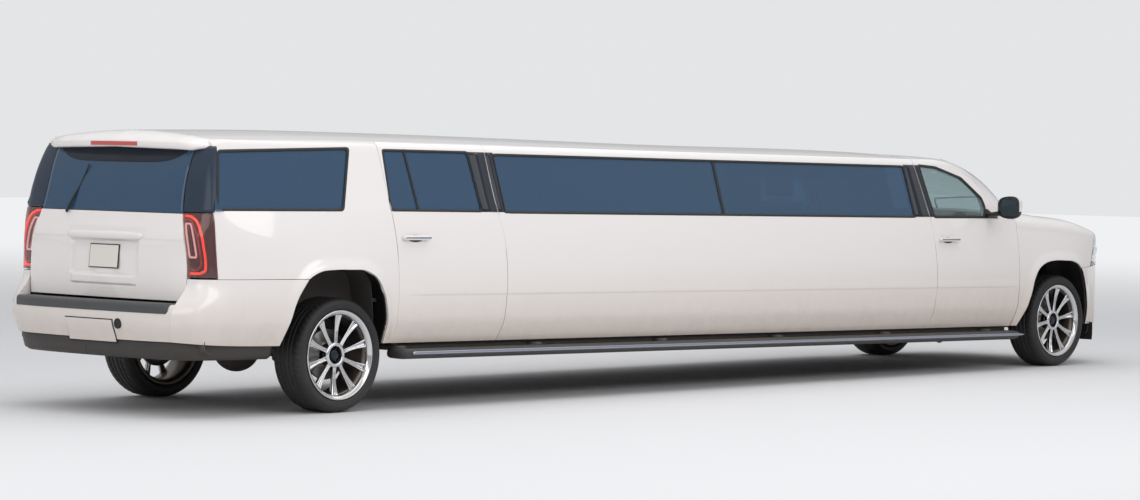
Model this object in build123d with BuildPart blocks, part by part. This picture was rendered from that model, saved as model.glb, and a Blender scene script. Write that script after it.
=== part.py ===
"""Stretch limousine: a full-size sport utility body lengthened between its side doors.

Millimetres. X runs forward from the rear axle, Y to the left, Z up from the road.
The body is drawn level and then placed once, tipped nose-down about the rear wheels'
line on the road. The wheels, axles and knuckles are drawn in the road's own frame.
"""
import os
from math import radians, tan

from build123d import *

os.makedirs("parts", exist_ok=True)

# Driving dimensions of the whole vehicle
WHEELBASE = 8382
REAR_OVERHANG = 1405
FRONT_OVERHANG = 990
TRACK = 1745
RAKE = 0.728

# Wheels
TYRE_RADIUS = 385
TYRE_WIDTH = 275
RIM_RADIUS = 302
RIM_BARREL = 250
HUB_RADIUS = 82
DISC_RADIUS = 170
BLADES = 10

# Body heights, level body frame
SILL = 455
CREASE = 786
BELT = 1345
RAIL = 1815
ROOF = 1885
FLOOR = 560

# Body half widths
SILL_HALF = 962
CREASE_HALF = 1022.5
BELT_HALF = 960
RAIL_HALF = 822

# Walls and gaps
DOOR_WALL = 120
FRAME_WALL = 45
TAIL_WALL = 110
GLASS = 5
GLASS_INSET = 4
GAP = 7

# Stations along the body
TAIL = -1235
ROOF_REAR = -940
REAR_DOOR_REAR = 510
REAR_DOOR_FRONT = 1575
FRONT_DOOR_REAR = 6620
FRONT_DOOR_FRONT = 7770
COWL = 7990
HOOD_FRONT = 9120
NOSE = WHEELBASE + FRONT_OVERHANG
MIDDLE = (NOSE - REAR_OVERHANG) / 2

# Door hinges
HINGE_BACK = 45
HINGE_DEEP = 45
HINGE_HEIGHTS = (660, 1000)
BARREL = 12
PIN = 5
FIT = 0.3

LEVEL = Location((-MIDDLE, 0, 0))
TIPPED = LEVEL * Location((0, 0, 0), (0, RAKE, 0))


def save(piece, name, place):
    """Place a finished solid in the vehicle's frame and write it."""
    placed = piece.moved(place)
    placed.label = name
    export_step(placed, f"parts/{name}.step")


def mirrored(piece):
    """The other side's copy of a solid."""
    return mirror(piece, about=Plane.XZ, mode=Mode.PRIVATE)


# The side's two curves and the straight glass plane, as height, half width and bulge at the top's middle
SIDE_CURVES = (
    # low height, high height, low half width, high half width, bulge between them
    (SILL, CREASE, SILL_HALF, CREASE_HALF, 12),
    (CREASE, BELT, CREASE_HALF, BELT_HALF, 17),
    (BELT, RAIL, BELT_HALF, RAIL_HALF, 0),
)


def skin(z):
    """Half width of the outer skin at a height."""
    for low, high, low_half, high_half, bulge in SIDE_CURVES:
        if z <= high:
            along = max(0, z - low) / (high - low)
            return low_half + (high_half - low_half) * along + 4 * bulge * along * (1 - along)
    return RAIL_HALF


def section_sketch(plane, low, high, bottom):
    """Half the body's cross-section, pulled in by low under the belt and high above it."""
    with BuildSketch(plane) as sketch:
        with BuildLine():
            sill = (SILL_HALF - low, bottom)
            crease = (CREASE_HALF - low, CREASE)
            belt = (BELT_HALF - low, BELT)
            Line((0, bottom), sill)
            ThreePointArc(sill, (skin((SILL + CREASE) / 2) - low, (bottom + CREASE) / 2), crease)
            ThreePointArc(crease, (skin((CREASE + BELT) / 2) - low, (CREASE + BELT) / 2), belt)
            glass_foot = (BELT_HALF - high, BELT)
            rail = (RAIL_HALF + 16 - high, RAIL - 55)
            if high != low:
                Line(belt, glass_foot)
            Line(glass_foot, rail)
            shoulder = (RAIL_HALF - 62 - high, RAIL + 8 - high)
            ThreePointArc(rail, (RAIL_HALF - 8 - high, RAIL - 8 - high * 0.7), shoulder)
            ThreePointArc(shoulder, (390, ROOF - 17 - high), (0, ROOF - high))
            Line((0, ROOF - high), (0, bottom))
        make_face()
        mirror(about=Plane.YZ)
    return sketch.sketch


HOOD_ARC = ((COWL, 1412), (8640, 1362), (HOOD_FRONT, 1232))


def side_outline(pull):
    """Side view of the body above the sill; each row's point moves inwards with pull."""
    rows = {
        # name: x, z, inward x, inward z
        "tail_foot": (TAIL + 15, 400, 1, 0),
        "step": (TAIL, 740, 1, 0),
        "tail": (TAIL - 10, 950, 1, 0),
        "tail_crease": (TAIL + 10, 1140, 1, 0),
        "glass_foot": (TAIL + 45, 1310, 1, 0),
        "glass_head": (TAIL + 160, 1730, 1, 0),
        "roof_corner": (TAIL + 215, 1820, 0.8, -0.8),
        "roof_rear": (ROOF_REAR, 1858, 0.2, -1),
        "roof_rise": (0, 1881, 0, -1),
        "roof_top": (1000, ROOF, 0, -1),
        "roof_front": (7100, 1852, -0.3, -1),
        "screen": (7610, 1694, -0.6, -0.8),
        "cowl": (*HOOD_ARC[0], -0.6, -0.8),
        "hood": (*HOOD_ARC[1], 0, -1),
        "hood_front": (*HOOD_ARC[2], -0.3, -1),
        "brow": (NOSE - 130, 1170, -1, -0.5),
        "lamp": (NOSE - 95, 1000, -1, 0),
        "bumper": (NOSE - 30, 700, -1, 0),
        "nose_foot": (NOSE - 60, 400, -1, 0),
    }
    at = {name: (x + pull * dx, z + pull * dz) for name, (x, z, dx, dz) in rows.items()}
    with BuildSketch(Plane.XZ) as sketch:
        with BuildLine():
            back = ("tail_foot", "step", "tail", "tail_crease", "glass_foot", "glass_head")
            Polyline(*(at[name] for name in back))
            ThreePointArc(at["glass_head"], at["roof_corner"], at["roof_rear"])
            ThreePointArc(at["roof_rear"], at["roof_rise"], at["roof_top"])
            Line(at["roof_top"], at["roof_front"])
            ThreePointArc(at["roof_front"], at["screen"], at["cowl"])
            ThreePointArc(at["cowl"], at["hood"], at["hood_front"])
            ThreePointArc(at["hood_front"], at["brow"], at["lamp"])
            Polyline(at["lamp"], at["bumper"], at["nose_foot"], at["tail_foot"])
        make_face()
    return sketch.sketch


def plan_outline(pull):
    """Plan view of the body with its rounded corners, pulled in all round."""
    half = CREASE_HALF + 5 - pull
    tail = TAIL + pull
    nose = NOSE - pull
    with BuildSketch(Plane.XY) as sketch:
        with BuildLine():
            ThreePointArc((tail, 0), (tail + 10, 450 - pull / 2), (tail + 45, 830 - pull))
            ThreePointArc((tail + 45, 830 - pull), (tail + 85, 925 - pull), (tail + 190, 985 - pull))
            ThreePointArc((tail + 190, 985 - pull), (tail + 460, half - 9), (tail + 760, half))
            Polyline((tail + 760, half), (8480, half), (8800, 992 - pull))
            ThreePointArc((8800, 992 - pull), (8946 - pull, 957 - pull), (9080 - pull, 890 - pull))
            ThreePointArc((9080 - pull, 890 - pull), (9195 - pull, 780 - pull), (9260 - pull, 640 - pull))
            ThreePointArc((9260 - pull, 640 - pull), (nose - 30, 330), (nose, 0))
            Line((nose, 0), (tail, 0))
        make_face()
        mirror(about=Plane.XZ)
    return sketch.sketch


def body_form(low, high, bottom):
    """The body's form where its section, side view and plan view all agree."""
    pull = min(low, high)
    section = section_sketch(Plane.YZ.offset(TAIL - 200), low, high, bottom)
    with BuildPart() as form:
        extrude(section, amount=NOSE - TAIL + 400)
        extrude(side_outline(pull), amount=1200, both=True, mode=Mode.INTERSECT)
        extrude(plan_outline(pull), amount=2200, mode=Mode.INTERSECT)
    return form.part


def block(x, y, z):
    """A box between low and high corners given as pairs."""
    size = [high - low for low, high in (x, y, z)]
    middle = [(high + low) / 2 for low, high in (x, y, z)]
    with BuildPart() as piece:
        with Locations(tuple(middle)):
            Box(*size)
    return piece.part


def side_prism(points, y_low, y_high, radius=0):
    """A side-view outline carried across from one half width to another."""
    with BuildPart() as piece:
        with BuildSketch(Plane.XZ.offset(-y_high)) as sketch:
            with BuildLine():
                Polyline(*points, close=True)
            make_face()
            if radius:
                fillet(sketch.vertices(), radius)
        extrude(amount=y_high - y_low)
    return piece.part


def rear_prism(points, x_low, x_high, radius=0):
    """An outline seen from behind carried along the body."""
    with BuildPart() as piece:
        with BuildSketch(Plane.YZ.offset(x_low)) as sketch:
            with BuildLine():
                Polyline(*points, close=True)
            make_face()
            if radius:
                fillet(sketch.vertices(), radius)
        extrude(amount=x_high - x_low)
    return piece.part


def rear_rectangle(half, low, high, radius):
    """A rounded rectangle about the centre line, carried through the body's tail."""
    corners = ((-half, low), (half, low), (half, high), (-half, high))
    return rear_prism(corners, TAIL - 100, TAIL + 80, radius)


def plan_prism(points, z_low, z_high):
    """A plan outline carried up."""
    with BuildPart() as piece:
        with BuildSketch(Plane.XY.offset(z_low)):
            with BuildLine():
                Polyline(*points, close=True)
            make_face()
        extrude(amount=z_high - z_low)
    return piece.part


def joined(*pieces):
    """Several solids as one part."""
    with BuildPart() as whole:
        for piece in pieces:
            add(piece)
    return whole.part


def meet(first, second):
    """What two solids share."""
    with BuildPart() as piece:
        add(first)
        add(second, mode=Mode.INTERSECT)
    return piece.part


def cut(whole, *cutters):
    """A solid less the cutters."""
    with BuildPart() as piece:
        add(whole)
        for cutter in cutters:
            add(cutter, mode=Mode.SUBTRACT)
    return piece.part


def both_sides(piece):
    """A left-hand solid with its mirror image."""
    return joined(piece, mirrored(piece))


# Wheel arches: flat on top, leaning at the back, rounded at the upper corners
ARCHES = {
    # name: wheel's station, top, then rear foot, rear head, front head and front foot from the wheel
    "rear": (0, 958, -573, -371, 318, 425),
    "front": (WHEELBASE, 1000, -620, -358, 330, 452),
}
ARCH_FOOT = 380


def arch_prism(name, wider, y_low, y_high):
    """The wheel opening's outline, made wider all round, as a cutter."""
    station, top, rear_foot, rear_head, front_head, front_foot = ARCHES[name]
    points = (
        (station + rear_foot - wider, ARCH_FOOT),
        (station + rear_head - wider * 0.8, top + wider),
        (station + front_head + wider * 0.9, top + wider),
        (station + front_foot + wider, ARCH_FOOT),
    )
    with BuildPart() as piece:
        with BuildSketch(Plane.XZ.offset(-y_high)) as sketch:
            with BuildLine():
                Polyline(*points, close=True)
            make_face()
            fillet(sketch.vertices().group_by(Axis.Y)[-1], 165 + wider * 0.5)
        extrude(amount=y_high - y_low)
    return piece.part


# Doors: outer edge at rest, with the slant that lets each edge swing clear
DOORS = {
    # name: rear edge low, rear edge at belt, rear edge at rail, front edge low
    "rear": (REAR_DOOR_REAR, 480, 456, REAR_DOOR_FRONT),
    "front": (FRONT_DOOR_REAR, 6590, 6508, FRONT_DOOR_FRONT),
}
REAR_SLANT = 0.25
DOOR_STEPS = 10
FOOT_SWEEP = {"rear": (0, -40), "front": (-55, -45)}
FOOT_TOP = 650


def foot(sweep, z):
    """How far a door's edge is swept along near its foot."""
    return sweep * (max(0, FOOT_TOP - z) / (FOOT_TOP - SILL)) ** 2


def door_loft(name, margin, front_slant):
    """A door's region between an outer and an inner outline, larger by margin."""
    rear_low, rear_belt, rear_rail, front = DOORS[name]
    heights = [SILL - 20] + [SILL + (BELT - SILL) * step / DOOR_STEPS for step in range(DOOR_STEPS)]
    outlines = []
    for y in (1080, 740):
        rear_sweep, front_sweep = FOOT_SWEEP[name]
        rear_edge = [(rear_low + REAR_SLANT * (skin(z) - y) - margin + foot(rear_sweep, z), z) for z in heights]
        rear_edge.append((rear_belt + REAR_SLANT * (BELT_HALF - y) - margin, BELT))
        rear_edge.append((rear_rail + REAR_SLANT * (RAIL_HALF - y) - margin, RAIL + margin))
        front_edge = [(front + front_slant * (skin(z) - y) + margin + foot(front_sweep, z), z) for z in heights]
        if name == "rear":
            front_edge += [(front - 45 + margin, BELT), (front - 75 + margin, RAIL + margin)]
        else:
            front_edge.append((front_edge[-1][0], BELT - 10 + margin))
            front_edge += [(front - 210 + margin, BELT + 24 + margin), (front - 300 + margin, BELT + 125 + margin)]
            brow = (front - 565 + margin, RAIL - 118 + margin)
            head = (front - 1030, RAIL + margin)
        with BuildSketch(Plane.XZ.offset(-y)) as sketch:
            with BuildLine():
                Polyline(*reversed(rear_edge), *front_edge)
                if name == "rear":
                    Line(front_edge[-1], rear_edge[-1])
                else:
                    ThreePointArc(front_edge[-1], brow, head)
                    Line(head, rear_edge[-1])
            make_face()
        outlines.append(sketch.sketch)
    with BuildPart() as piece:
        loft(outlines, ruled=True)
    return piece.part


# Window outlines, seen from the side
LONG_SPLIT = 3998
WINDOWS = {
    "quarter": ((-1112, 1335), (-1016, 1737), (196, 1778), (30, 1343)),
    "rear_door": ((470, 1349), (492, 1772), (1337, 1774), (1384, 1350)),
    "long_rear": ((1606, 1345), (1583, 1755), (LONG_SPLIT - 8, 1757), (LONG_SPLIT + 7, 1345)),
    "long_front": ((LONG_SPLIT + 22, 1345), (LONG_SPLIT + 8, 1757), (6371, 1758), (6391, 1345)),
}
FRONT_GLASS = (
    (6650, 1350), (6578, 1766), (6800, 1754), (7125, 1672), (7352, 1512), (7376, 1440), (7348, 1356))


def window_prism(name):
    """One side window's outline as a cutter on the left."""
    if name != "front_door":
        return side_prism(WINDOWS[name], 700, 1100, 18)
    foot, head, brow, curve, cheek, sail, toe = FRONT_GLASS
    with BuildPart() as piece:
        with BuildSketch(Plane.XZ.offset(-1100)):
            with BuildLine():
                Polyline(cheek, sail, toe, foot, head, brow)
                ThreePointArc(brow, curve, cheek)
            make_face()
        extrude(amount=400)
    return piece.part


# Rounded shoulders beside the hood, turned about the centre of the hood's own arc
SHOULDER_REAR, SHOULDER_IN, SHOULDER_OUT, SHOULDER_DROP = 7790, 800, 975, 130


def shoulder_cutter():
    """What lies outside the rounded shoulders of the front wings."""
    arc = Edge.make_three_point_arc(*(Vector(x, 0, z) for x, z in HOOD_ARC))
    top = arc.arc_center.Z + arc.radius
    with BuildPart() as under:
        with BuildSketch(Plane.YZ.offset(arc.arc_center.X)):
            with BuildLine():
                low = top - SHOULDER_DROP
                start, end = (SHOULDER_IN, top), (SHOULDER_OUT, low)
                middle = (SHOULDER_IN + 0.72 * (SHOULDER_OUT - SHOULDER_IN), top - 0.31 * SHOULDER_DROP)
                ThreePointArc(start, middle, end)
                Polyline(end, (1150, low), (1150, top - 600), (700, top - 600), (700, top), start)
            make_face()
        revolve(axis=Axis(arc.arc_center, (0, 1, 0)))
    beside_hood = block((SHOULDER_REAR, NOSE + 50), (SHOULDER_IN + 1, 1100), (1050, 1500))
    return both_sides(cut(beside_hood, under.part))


# The body in the whole, then its cabin, engine bay, arches and windows taken out
FIREWALL = 7800
outer = cut(body_form(0, 0, SILL), shoulder_cutter())
inner = body_form(DOOR_WALL, FRAME_WALL, SILL - 20)
bay = meet(inner, block((FIREWALL + 30, NOSE), (-1100, 1100), (300, 1500)))
room = meet(inner, block((TAIL, FIREWALL), (-1100, 1100), (300, 2000)))
tail_wall = block((TAIL, TAIL + TAIL_WALL), (-1100, 1100), (300, BELT - 30))
room = cut(room, tail_wall)
hollow = cut(inner, tail_wall)
arches = [arch_prism(name, 0, 640, 1150) for name in ARCHES]
windows = {name: window_prism(name) for name in (*WINDOWS, "front_door")}
screen = plan_prism(((7165, 612), (7925, 735), (7925, -735), (7165, -612)), 1380, 1900)
back_light = rear_prism(((-675, 1330), (675, 1330), (640, 1700), (-640, 1700)), TAIL - 50, -1000)
side_cutters = [both_sides(piece) for piece in (*arches, *windows.values())]
shell = cut(outer, hollow, screen, back_light, *side_cutters)

# Openings for the doors, liftgate and hood, each a gap wider than its panel
door_openings = {name: both_sides(door_loft(name, GAP, 1)) for name in DOORS}
gate_edge = (
    (-800, 745), (-800, 990), (-715, BELT), (-690, 1900), (690, 1900), (715, BELT), (800, 990), (800, 745))
gate_opening_edge = [(y + (GAP if y > 0 else -GAP), z - (GAP if z < 800 else 0)) for y, z in gate_edge]
gate_region = rear_prism(gate_edge, TAIL - 100, ROOF_REAR - GAP)
gate_opening = rear_prism(gate_opening_edge, TAIL - 100, ROOF_REAR + 6)
HOOD_HALF = 790
hood_region = block((COWL + 15, HOOD_FRONT), (-HOOD_HALF, HOOD_HALF), (1080, 1500))
hood_opening = block((COWL, HOOD_FRONT + GAP), (-HOOD_HALF - GAP, HOOD_HALF + GAP), (1080, 1500))
fixed = cut(shell, *door_openings.values(), gate_opening, hood_opening)

# Flared lips round the wheel arches, set a little into the panels that carry them
LIPS = {
    # name: width, how far it stands out and how far it sits in
    "rear": (24, 12, 15),
    "front": (32, 10, 18),
}
arch_lips = {}
for name, arch in zip(ARCHES, arches):
    width, proud, seat = LIPS[name]
    side_layer = cut(outer.moved(Location((0, proud, 0))), outer.moved(Location((0, -seat, 0))))
    lip = meet(cut(arch_prism(name, width, 640, 1150), arch), side_layer)
    arch_lips[name] = both_sides(cut(lip, *door_openings.values()))

# Roof with its screen frame, cowl and windscreen pillars, and the liftgate's hinge lugs
roof_edge = (
    (TAIL - 100, RAIL), (6900, RAIL), (6900, 1600), (7400, 1376), (COWL - 1, 1376), (COWL - 1, 1950),
    (TAIL - 100, 1950))
roof_region = joined(
    side_prism(roof_edge, -1100, 1100), block((TAIL - 100, COWL - 1), (-790, 790), (1500, 1950)))
GATE_PIVOT = (ROOF_REAR - GAP - 8, 1843)
GATE_HINGES = (-450, 450)
HOLE = PIN + FIT
with BuildPart() as roof:
    add(meet(fixed, roof_region))
    for y in GATE_HINGES:
        with Locations((GATE_PIVOT[0] + 17, y, GATE_PIVOT[1])):
            Box(34, 28, 20)
        with Locations(Location((GATE_PIVOT[0], y, GATE_PIVOT[1]), (90, 0, 0))):
            Cylinder(10, 28)
            Cylinder(PIN, 80)
sides = cut(fixed, roof_region)
save(roof.part, "roof_panel", TIPPED)

# Quarter panels, tail lamps and stretched side panels
quarter_region = block((TAIL - 200, 1000), (-1100, 1100), (400, RAIL))
tail_lamp_edge = ((-1300, 905), (-1112, 905), (-1128, 1110), (-1160, 1322), (-1300, 1322))
lamp_region = side_prism(tail_lamp_edge, -1100, 1100)
bumper_region = block((TAIL - 200, -300), (-1100, 1100), (300, 897))
quarter_panels = cut(joined(meet(sides, quarter_region), arch_lips["rear"]), lamp_region, bumper_region)
save(quarter_panels, "quarter_panels", TIPPED)
save(meet(meet(sides, quarter_region), lamp_region), "tail_lamps", TIPPED)


def hinge_arms(name):
    """Two goose-neck arms with their pins, from the pillar in front of a door."""
    pivot = (DOORS[name][3] - HINGE_BACK, CREASE_HALF - HINGE_DEEP)
    route = (pivot, (pivot[0] + 20, pivot[1] - 60), (pivot[0] + 160, pivot[1] - 60))
    with BuildPart() as arms:
        for height in HINGE_HEIGHTS:
            with BuildSketch(Plane.XY.offset(height - 24)) as sketch:
                with BuildLine() as line:
                    Polyline(*route)
                trace(line.line, 16)
                with Locations(pivot):
                    Circle(BARREL)
            extrude(amount=48)
            with Locations((*pivot, height)):
                Cylinder(PIN, 90)
    return arms.part


stretch_panels = meet(sides, block((1400, 6700), (-1100, 1100), (400, RAIL)))
save(joined(stretch_panels, both_sides(hinge_arms("rear"))), "stretch_panels", TIPPED)

# Front: fenders, hood, headlamps, grille and bumper from one shell
FENDER_EDGE = (
    (7700, 400), (8400, 400), (8400, 925), (8868, 940), (8945, 1185), (9300, 1205), (9300, 1500),
    (7700, 1500))
front_shell = meet(sides, block((7700, NOSE), (-1100, 1100), (300, 1500)))
fender_region = side_prism(FENDER_EDGE, 0, 1100)
liner = cut(arch_prism("front", 78, 590, 1000), arch_prism("front", 70, 580, 1010))
liner = meet(liner, cut(bay, block((0, 7835), (-1200, 1200), (0, 2000))))
HOOD_PINS = [Location((COWL + 21, side * (HOOD_HALF + GAP), 1398), (90, 0, 0)) for side in (-1, 1)]
with BuildPart() as fenders:
    add(meet(front_shell, both_sides(fender_region)))
    add(meet(arch_lips["front"], both_sides(fender_region)))
    add(both_sides(liner))
    add(both_sides(hinge_arms("front")))
    with Locations(HOOD_PINS):
        Cylinder(PIN, 46)
save(fenders.part, "fenders", TIPPED)
with BuildPart() as hood:
    add(meet(shell, hood_region))
    with Locations(HOOD_PINS):
        Cylinder(HOLE, 82, mode=Mode.SUBTRACT)
save(hood.part, "hood", TIPPED)
fascia = cut(front_shell, both_sides(fender_region))
lamp_edge = ((8868, 960), (8935, 1178), (9300, 1178), (9300, 1005), (9000, 960))
headlamp_region = side_prism(lamp_edge, 545, 1100)
grille_edge = ((-535, 1180), (535, 1180), (500, 800), (-500, 800))
grille_region = rear_prism(grille_edge, 9000, NOSE)
save(meet(fascia, both_sides(headlamp_region)), "headlamps", TIPPED)
GRILLE_BARS = 7
with BuildPart() as grille:
    add(meet(fascia, grille_region))
    with Locations([(NOSE - 130, 0, 1155 - row * 50) for row in range(GRILLE_BARS)]):
        Box(400, 960, 30, mode=Mode.SUBTRACT)
    with Locations([(9200, side * 240, 990) for side in (-1, 0, 1)]):
        Box(40, 14, 380)
save(grille.part, "grille", TIPPED)
BEAM = (9200, 9270)
air_slot = rear_prism(((-470, 590), (470, 590), (440, 690), (-440, 690)), NOSE - 200, NOSE + 50, 20)
fog_edge = ((610, 560), (770, 560), (770, 660), (640, 660))
fog_lamps = both_sides(rear_prism(fog_edge, NOSE - 260, NOSE + 50, 15))
fog_glass = meet(fog_lamps, cut(outer.moved(Location((-20, 0, 0))), outer.moved(Location((-50, 0, 0)))))
front_bumper = joined(
    cut(fascia, both_sides(headlamp_region), grille_region, air_slot, fog_lamps), fog_glass,
    block(BEAM, (-620, 620), (465, 560)))
save(front_bumper, "front_bumper", TIPPED)

# Glass fixed in the body
GLASS_INNER = GLASS_INSET + GLASS
glass_shell = cut(body_form(GLASS_INSET, GLASS_INSET, SILL), body_form(GLASS_INNER, GLASS_INNER, SILL))
save(meet(glass_shell, screen), "windscreen", TIPPED)
fixed_panes = [both_sides(meet(glass_shell, windows[name])) for name in WINDOWS if name != "rear_door"]
save(joined(*fixed_panes), "side_glass", TIPPED)

# Liftgate with its window, spoiler, plate recess, garnish bar and pull shelf
SPOILER_HALF = 690
SPOILER = ((ROOF_REAR - GAP - 5, 1780), (ROOF_REAR - GAP - 5, 1860), (-1060, 1838), (-1168, 1800), (-1168, 1744),
           (-1050, 1740))
SPOILER_TIP = -1100
RECESS_DEPTH = 22
gate_form = cut(shell, cut(rear_rectangle(335, 892, 1129, 22), outer.moved(Location((RECESS_DEPTH, 0, 0)))))
with BuildPart() as spoiler:
    add(side_prism(SPOILER, -SPOILER_HALF, SPOILER_HALF))
    with BuildSketch(mode=Mode.PRIVATE) as lip_plan:
        with BuildLine():
            ThreePointArc((SPOILER_TIP, -SPOILER_HALF), (SPOILER[3][0], 0), (SPOILER_TIP, SPOILER_HALF))
            Polyline((SPOILER_TIP, SPOILER_HALF), (-900, SPOILER_HALF), (-900, -SPOILER_HALF),
                     (SPOILER_TIP, -SPOILER_HALF))
        make_face()
    extrude(lip_plan.sketch, amount=2000, mode=Mode.INTERSECT)
    extrude(section_sketch(Plane.YZ.offset(TAIL - 200), 0, 0, SILL), amount=600, mode=Mode.INTERSECT)
    brake_lamp_edge = ((-236, 1755), (236, 1755), (236, 1776), (-236, 1776))
    add(rear_prism(brake_lamp_edge, TAIL, SPOILER[3][0] + 11, 8), mode=Mode.SUBTRACT)
RIDGES = (
    # height, thickness, half width, how far it stands out: garnish bar, pull shelf
    (1158, 56, 385, 18),
    (865, 54, 315, 8),
)
with BuildPart() as liftgate:
    add(meet(gate_form, gate_region))
    add(spoiler.part)
    for height, thickness, half, proud in RIDGES:
        ridge = rear_rectangle(half, height - thickness / 2, height + thickness / 2, thickness / 2 - 1)
        ridge_layer = cut(outer.moved(Location((-proud, 0, 0))), outer.moved(Location((30, 0, 0))))
        add(meet(ridge, ridge_layer))
    for y in GATE_HINGES:
        with Locations((GATE_PIVOT[0] + 10, y, GATE_PIVOT[1] + 30)):
            Box(56, 40, 96, mode=Mode.SUBTRACT)
        with Locations(Location((GATE_PIVOT[0], y, GATE_PIVOT[1]), (90, 0, 0))):
            Cylinder(HOLE, 82, mode=Mode.SUBTRACT)
save(liftgate.part, "liftgate", TIPPED)
save(meet(glass_shell, back_light), "liftgate_glass", TIPPED)

# Rear bumper: corner shells, the bowed cover with its step pad and horns, valance and hitch cover
COVER_LOW, COVER_HIGH, HORN_TOP = 485, 700, 896
COVER_WALL = 60
HORN_HALF = 800
COVER_FRONT = -560
COVER_PLAN = (-REAR_OVERHANG, (-1318, 830), (-1240, 935), (-930, 1012))
HORN_PLAN = (TAIL - 5, (-1192, 830), (-1110, 955), (-800, 1012))


def bumper_plan(pull, rear_x, corner, bend, side_end):
    """Plan outline of the cover: its rearmost point, then corner, bend and side as x and half width."""
    corner_x, corner_y = corner[0] + pull, corner[1] - pull
    side_y = side_end[1] - pull
    with BuildSketch(mode=Mode.PRIVATE) as sketch:
        with BuildLine():
            ThreePointArc((corner_x, -corner_y), (rear_x + pull, 0), (corner_x, corner_y))
            for side in (-1, 1):
                side_point = (side_end[0], side * side_y)
                ThreePointArc((corner_x, side * corner_y), (bend[0] + pull, side * (bend[1] - pull)), side_point)
                Line(side_point, (COVER_FRONT, side * side_y))
            Line((COVER_FRONT, -side_y), (COVER_FRONT, side_y))
        make_face()
    return sketch.sketch


def cover(pull, low, high):
    """The cover's plan carried from one height to another, pulled in all round."""
    with BuildPart() as piece:
        extrude(bumper_plan(pull, *COVER_PLAN).moved(Location((0, 0, low))), amount=high - low)
    return piece.part


with BuildPart() as horns:
    loft([bumper_plan(0, *COVER_PLAN).moved(Location((0, 0, COVER_HIGH))),
          bumper_plan(0, *HORN_PLAN).moved(Location((0, 0, HORN_TOP)))], ruled=True)
    add(block((-1500, 0), (-HORN_HALF, HORN_HALF), (728, 1000)), mode=Mode.SUBTRACT)
hitch_edge = ((-410, 492), (90, 492), (120, 604), (-360, 604))
behind_tail = block((-1500, TAIL), (-1100, 1100), (300, 800))
with BuildPart() as rear_bumper:
    add(cover(0, COVER_LOW, COVER_HIGH))
    add(horns.part)
    add(meet(cover(-4, 668, 735), block((-1500, TAIL), (-760, 760), (600, 800))))
    add(meet(cover(COVER_WALL, 300, 660), behind_tail), mode=Mode.SUBTRACT)
    add(outer, mode=Mode.SUBTRACT)
    add(cut(cover(35, 408, COVER_LOW + 10), cover(COVER_WALL, 300, 700)))
    add(meet(rear_prism(hitch_edge, -1500, -1300, 12), cover(-5, 480, 620)))
    with Locations(Location((-1380, -445, 578), (0, 90, 0))):
        Cylinder(20, 40, mode=Mode.SUBTRACT)
    add(both_sides(arches[0]), mode=Mode.SUBTRACT)
    add(meet(joined(meet(sides, quarter_region), arch_lips["rear"]), bumper_region))
save(rear_bumper.part, "rear_bumper", TIPPED)

# Doors: shell within the door's outline, with pockets for the hinge arms
HANDLE_HEIGHT = 1172
for name in DOORS:
    pivot = (DOORS[name][3] - HINGE_BACK, CREASE_HALF - HINGE_DEEP)
    with BuildPart() as left_door:
        add(meet(shell, door_loft(name, 0, 0)))
        for height in HINGE_HEIGHTS:
            with Locations((pivot[0] + 40, pivot[1] - 40, height)):
                Box(112, 2 * (40 + BARREL + 2), 48 + 2 * FIT, mode=Mode.SUBTRACT)
            with Locations((*pivot, height)):
                Cylinder(HOLE, 92, mode=Mode.SUBTRACT)
        grip = DOORS[name][0] + 170
        with Locations((grip, skin(HANDLE_HEIGHT) + 22, HANDLE_HEIGHT)):
            Box(245, 14, 24)
        with Locations([(grip + reach, skin(HANDLE_HEIGHT) + 6, HANDLE_HEIGHT) for reach in (-105, 105)]):
            Box(34, 30, 20)
    pane = meet(glass_shell, windows[f"{name}_door"])
    for side in ("left", "right"):
        for piece, node in ((left_door.part, f"{name}_door_{side}"), (pane, f"{name}_door_glass_{side}")):
            save(piece if side == "left" else mirrored(piece), node, TIPPED)

# Door mirrors on short arms
with BuildPart() as mirror_left:
    with Locations((7375, 1205, 1440)):
        Box(110, 215, 190)
    fillet(mirror_left.edges(), 30)
    with Locations((7385, 1030, 1385)):
        Box(60, 220, 50)
    add(outer, mode=Mode.SUBTRACT)
save(mirror_left.part, "mirror_left", TIPPED)
save(mirrored(mirror_left.part), "mirror_right", TIPPED)

# Cabin floor with sills, raised cargo floor with rear wheelhouses, and the bulkhead with its tunnel
FLOOR_LOW = FLOOR - 30
CARGO = 760
CARGO_FRONT = 500
TUNNEL_REAR = 6920
tunnel_bore = block((TUNNEL_REAR, FIREWALL + 40), (-180, 180), (FLOOR_LOW - 10, 780))
wheelhouse = cut(arch_prism("rear", 23, 690, 1000), arch_prism("rear", 15, 702, 1010))
door_swings = [
    block((rear_low - 20, front + 50), (862, 982), (440, 770)) for rear_low, _, _, front in DOORS.values()]
with BuildPart() as floor_pan:
    add(block((CARGO_FRONT + FIT, FIREWALL), (-1000, 1000), (FLOOR_LOW, FLOOR)))
    add(both_sides(block((CARGO_FRONT + FIT, FIREWALL), (760, 834), (440, FLOOR_LOW))))
    add(tunnel_bore, mode=Mode.SUBTRACT)
    add(inner, mode=Mode.INTERSECT)
    for swing in door_swings:
        add(both_sides(swing), mode=Mode.SUBTRACT)
save(floor_pan.part, "floor_pan", TIPPED)
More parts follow.
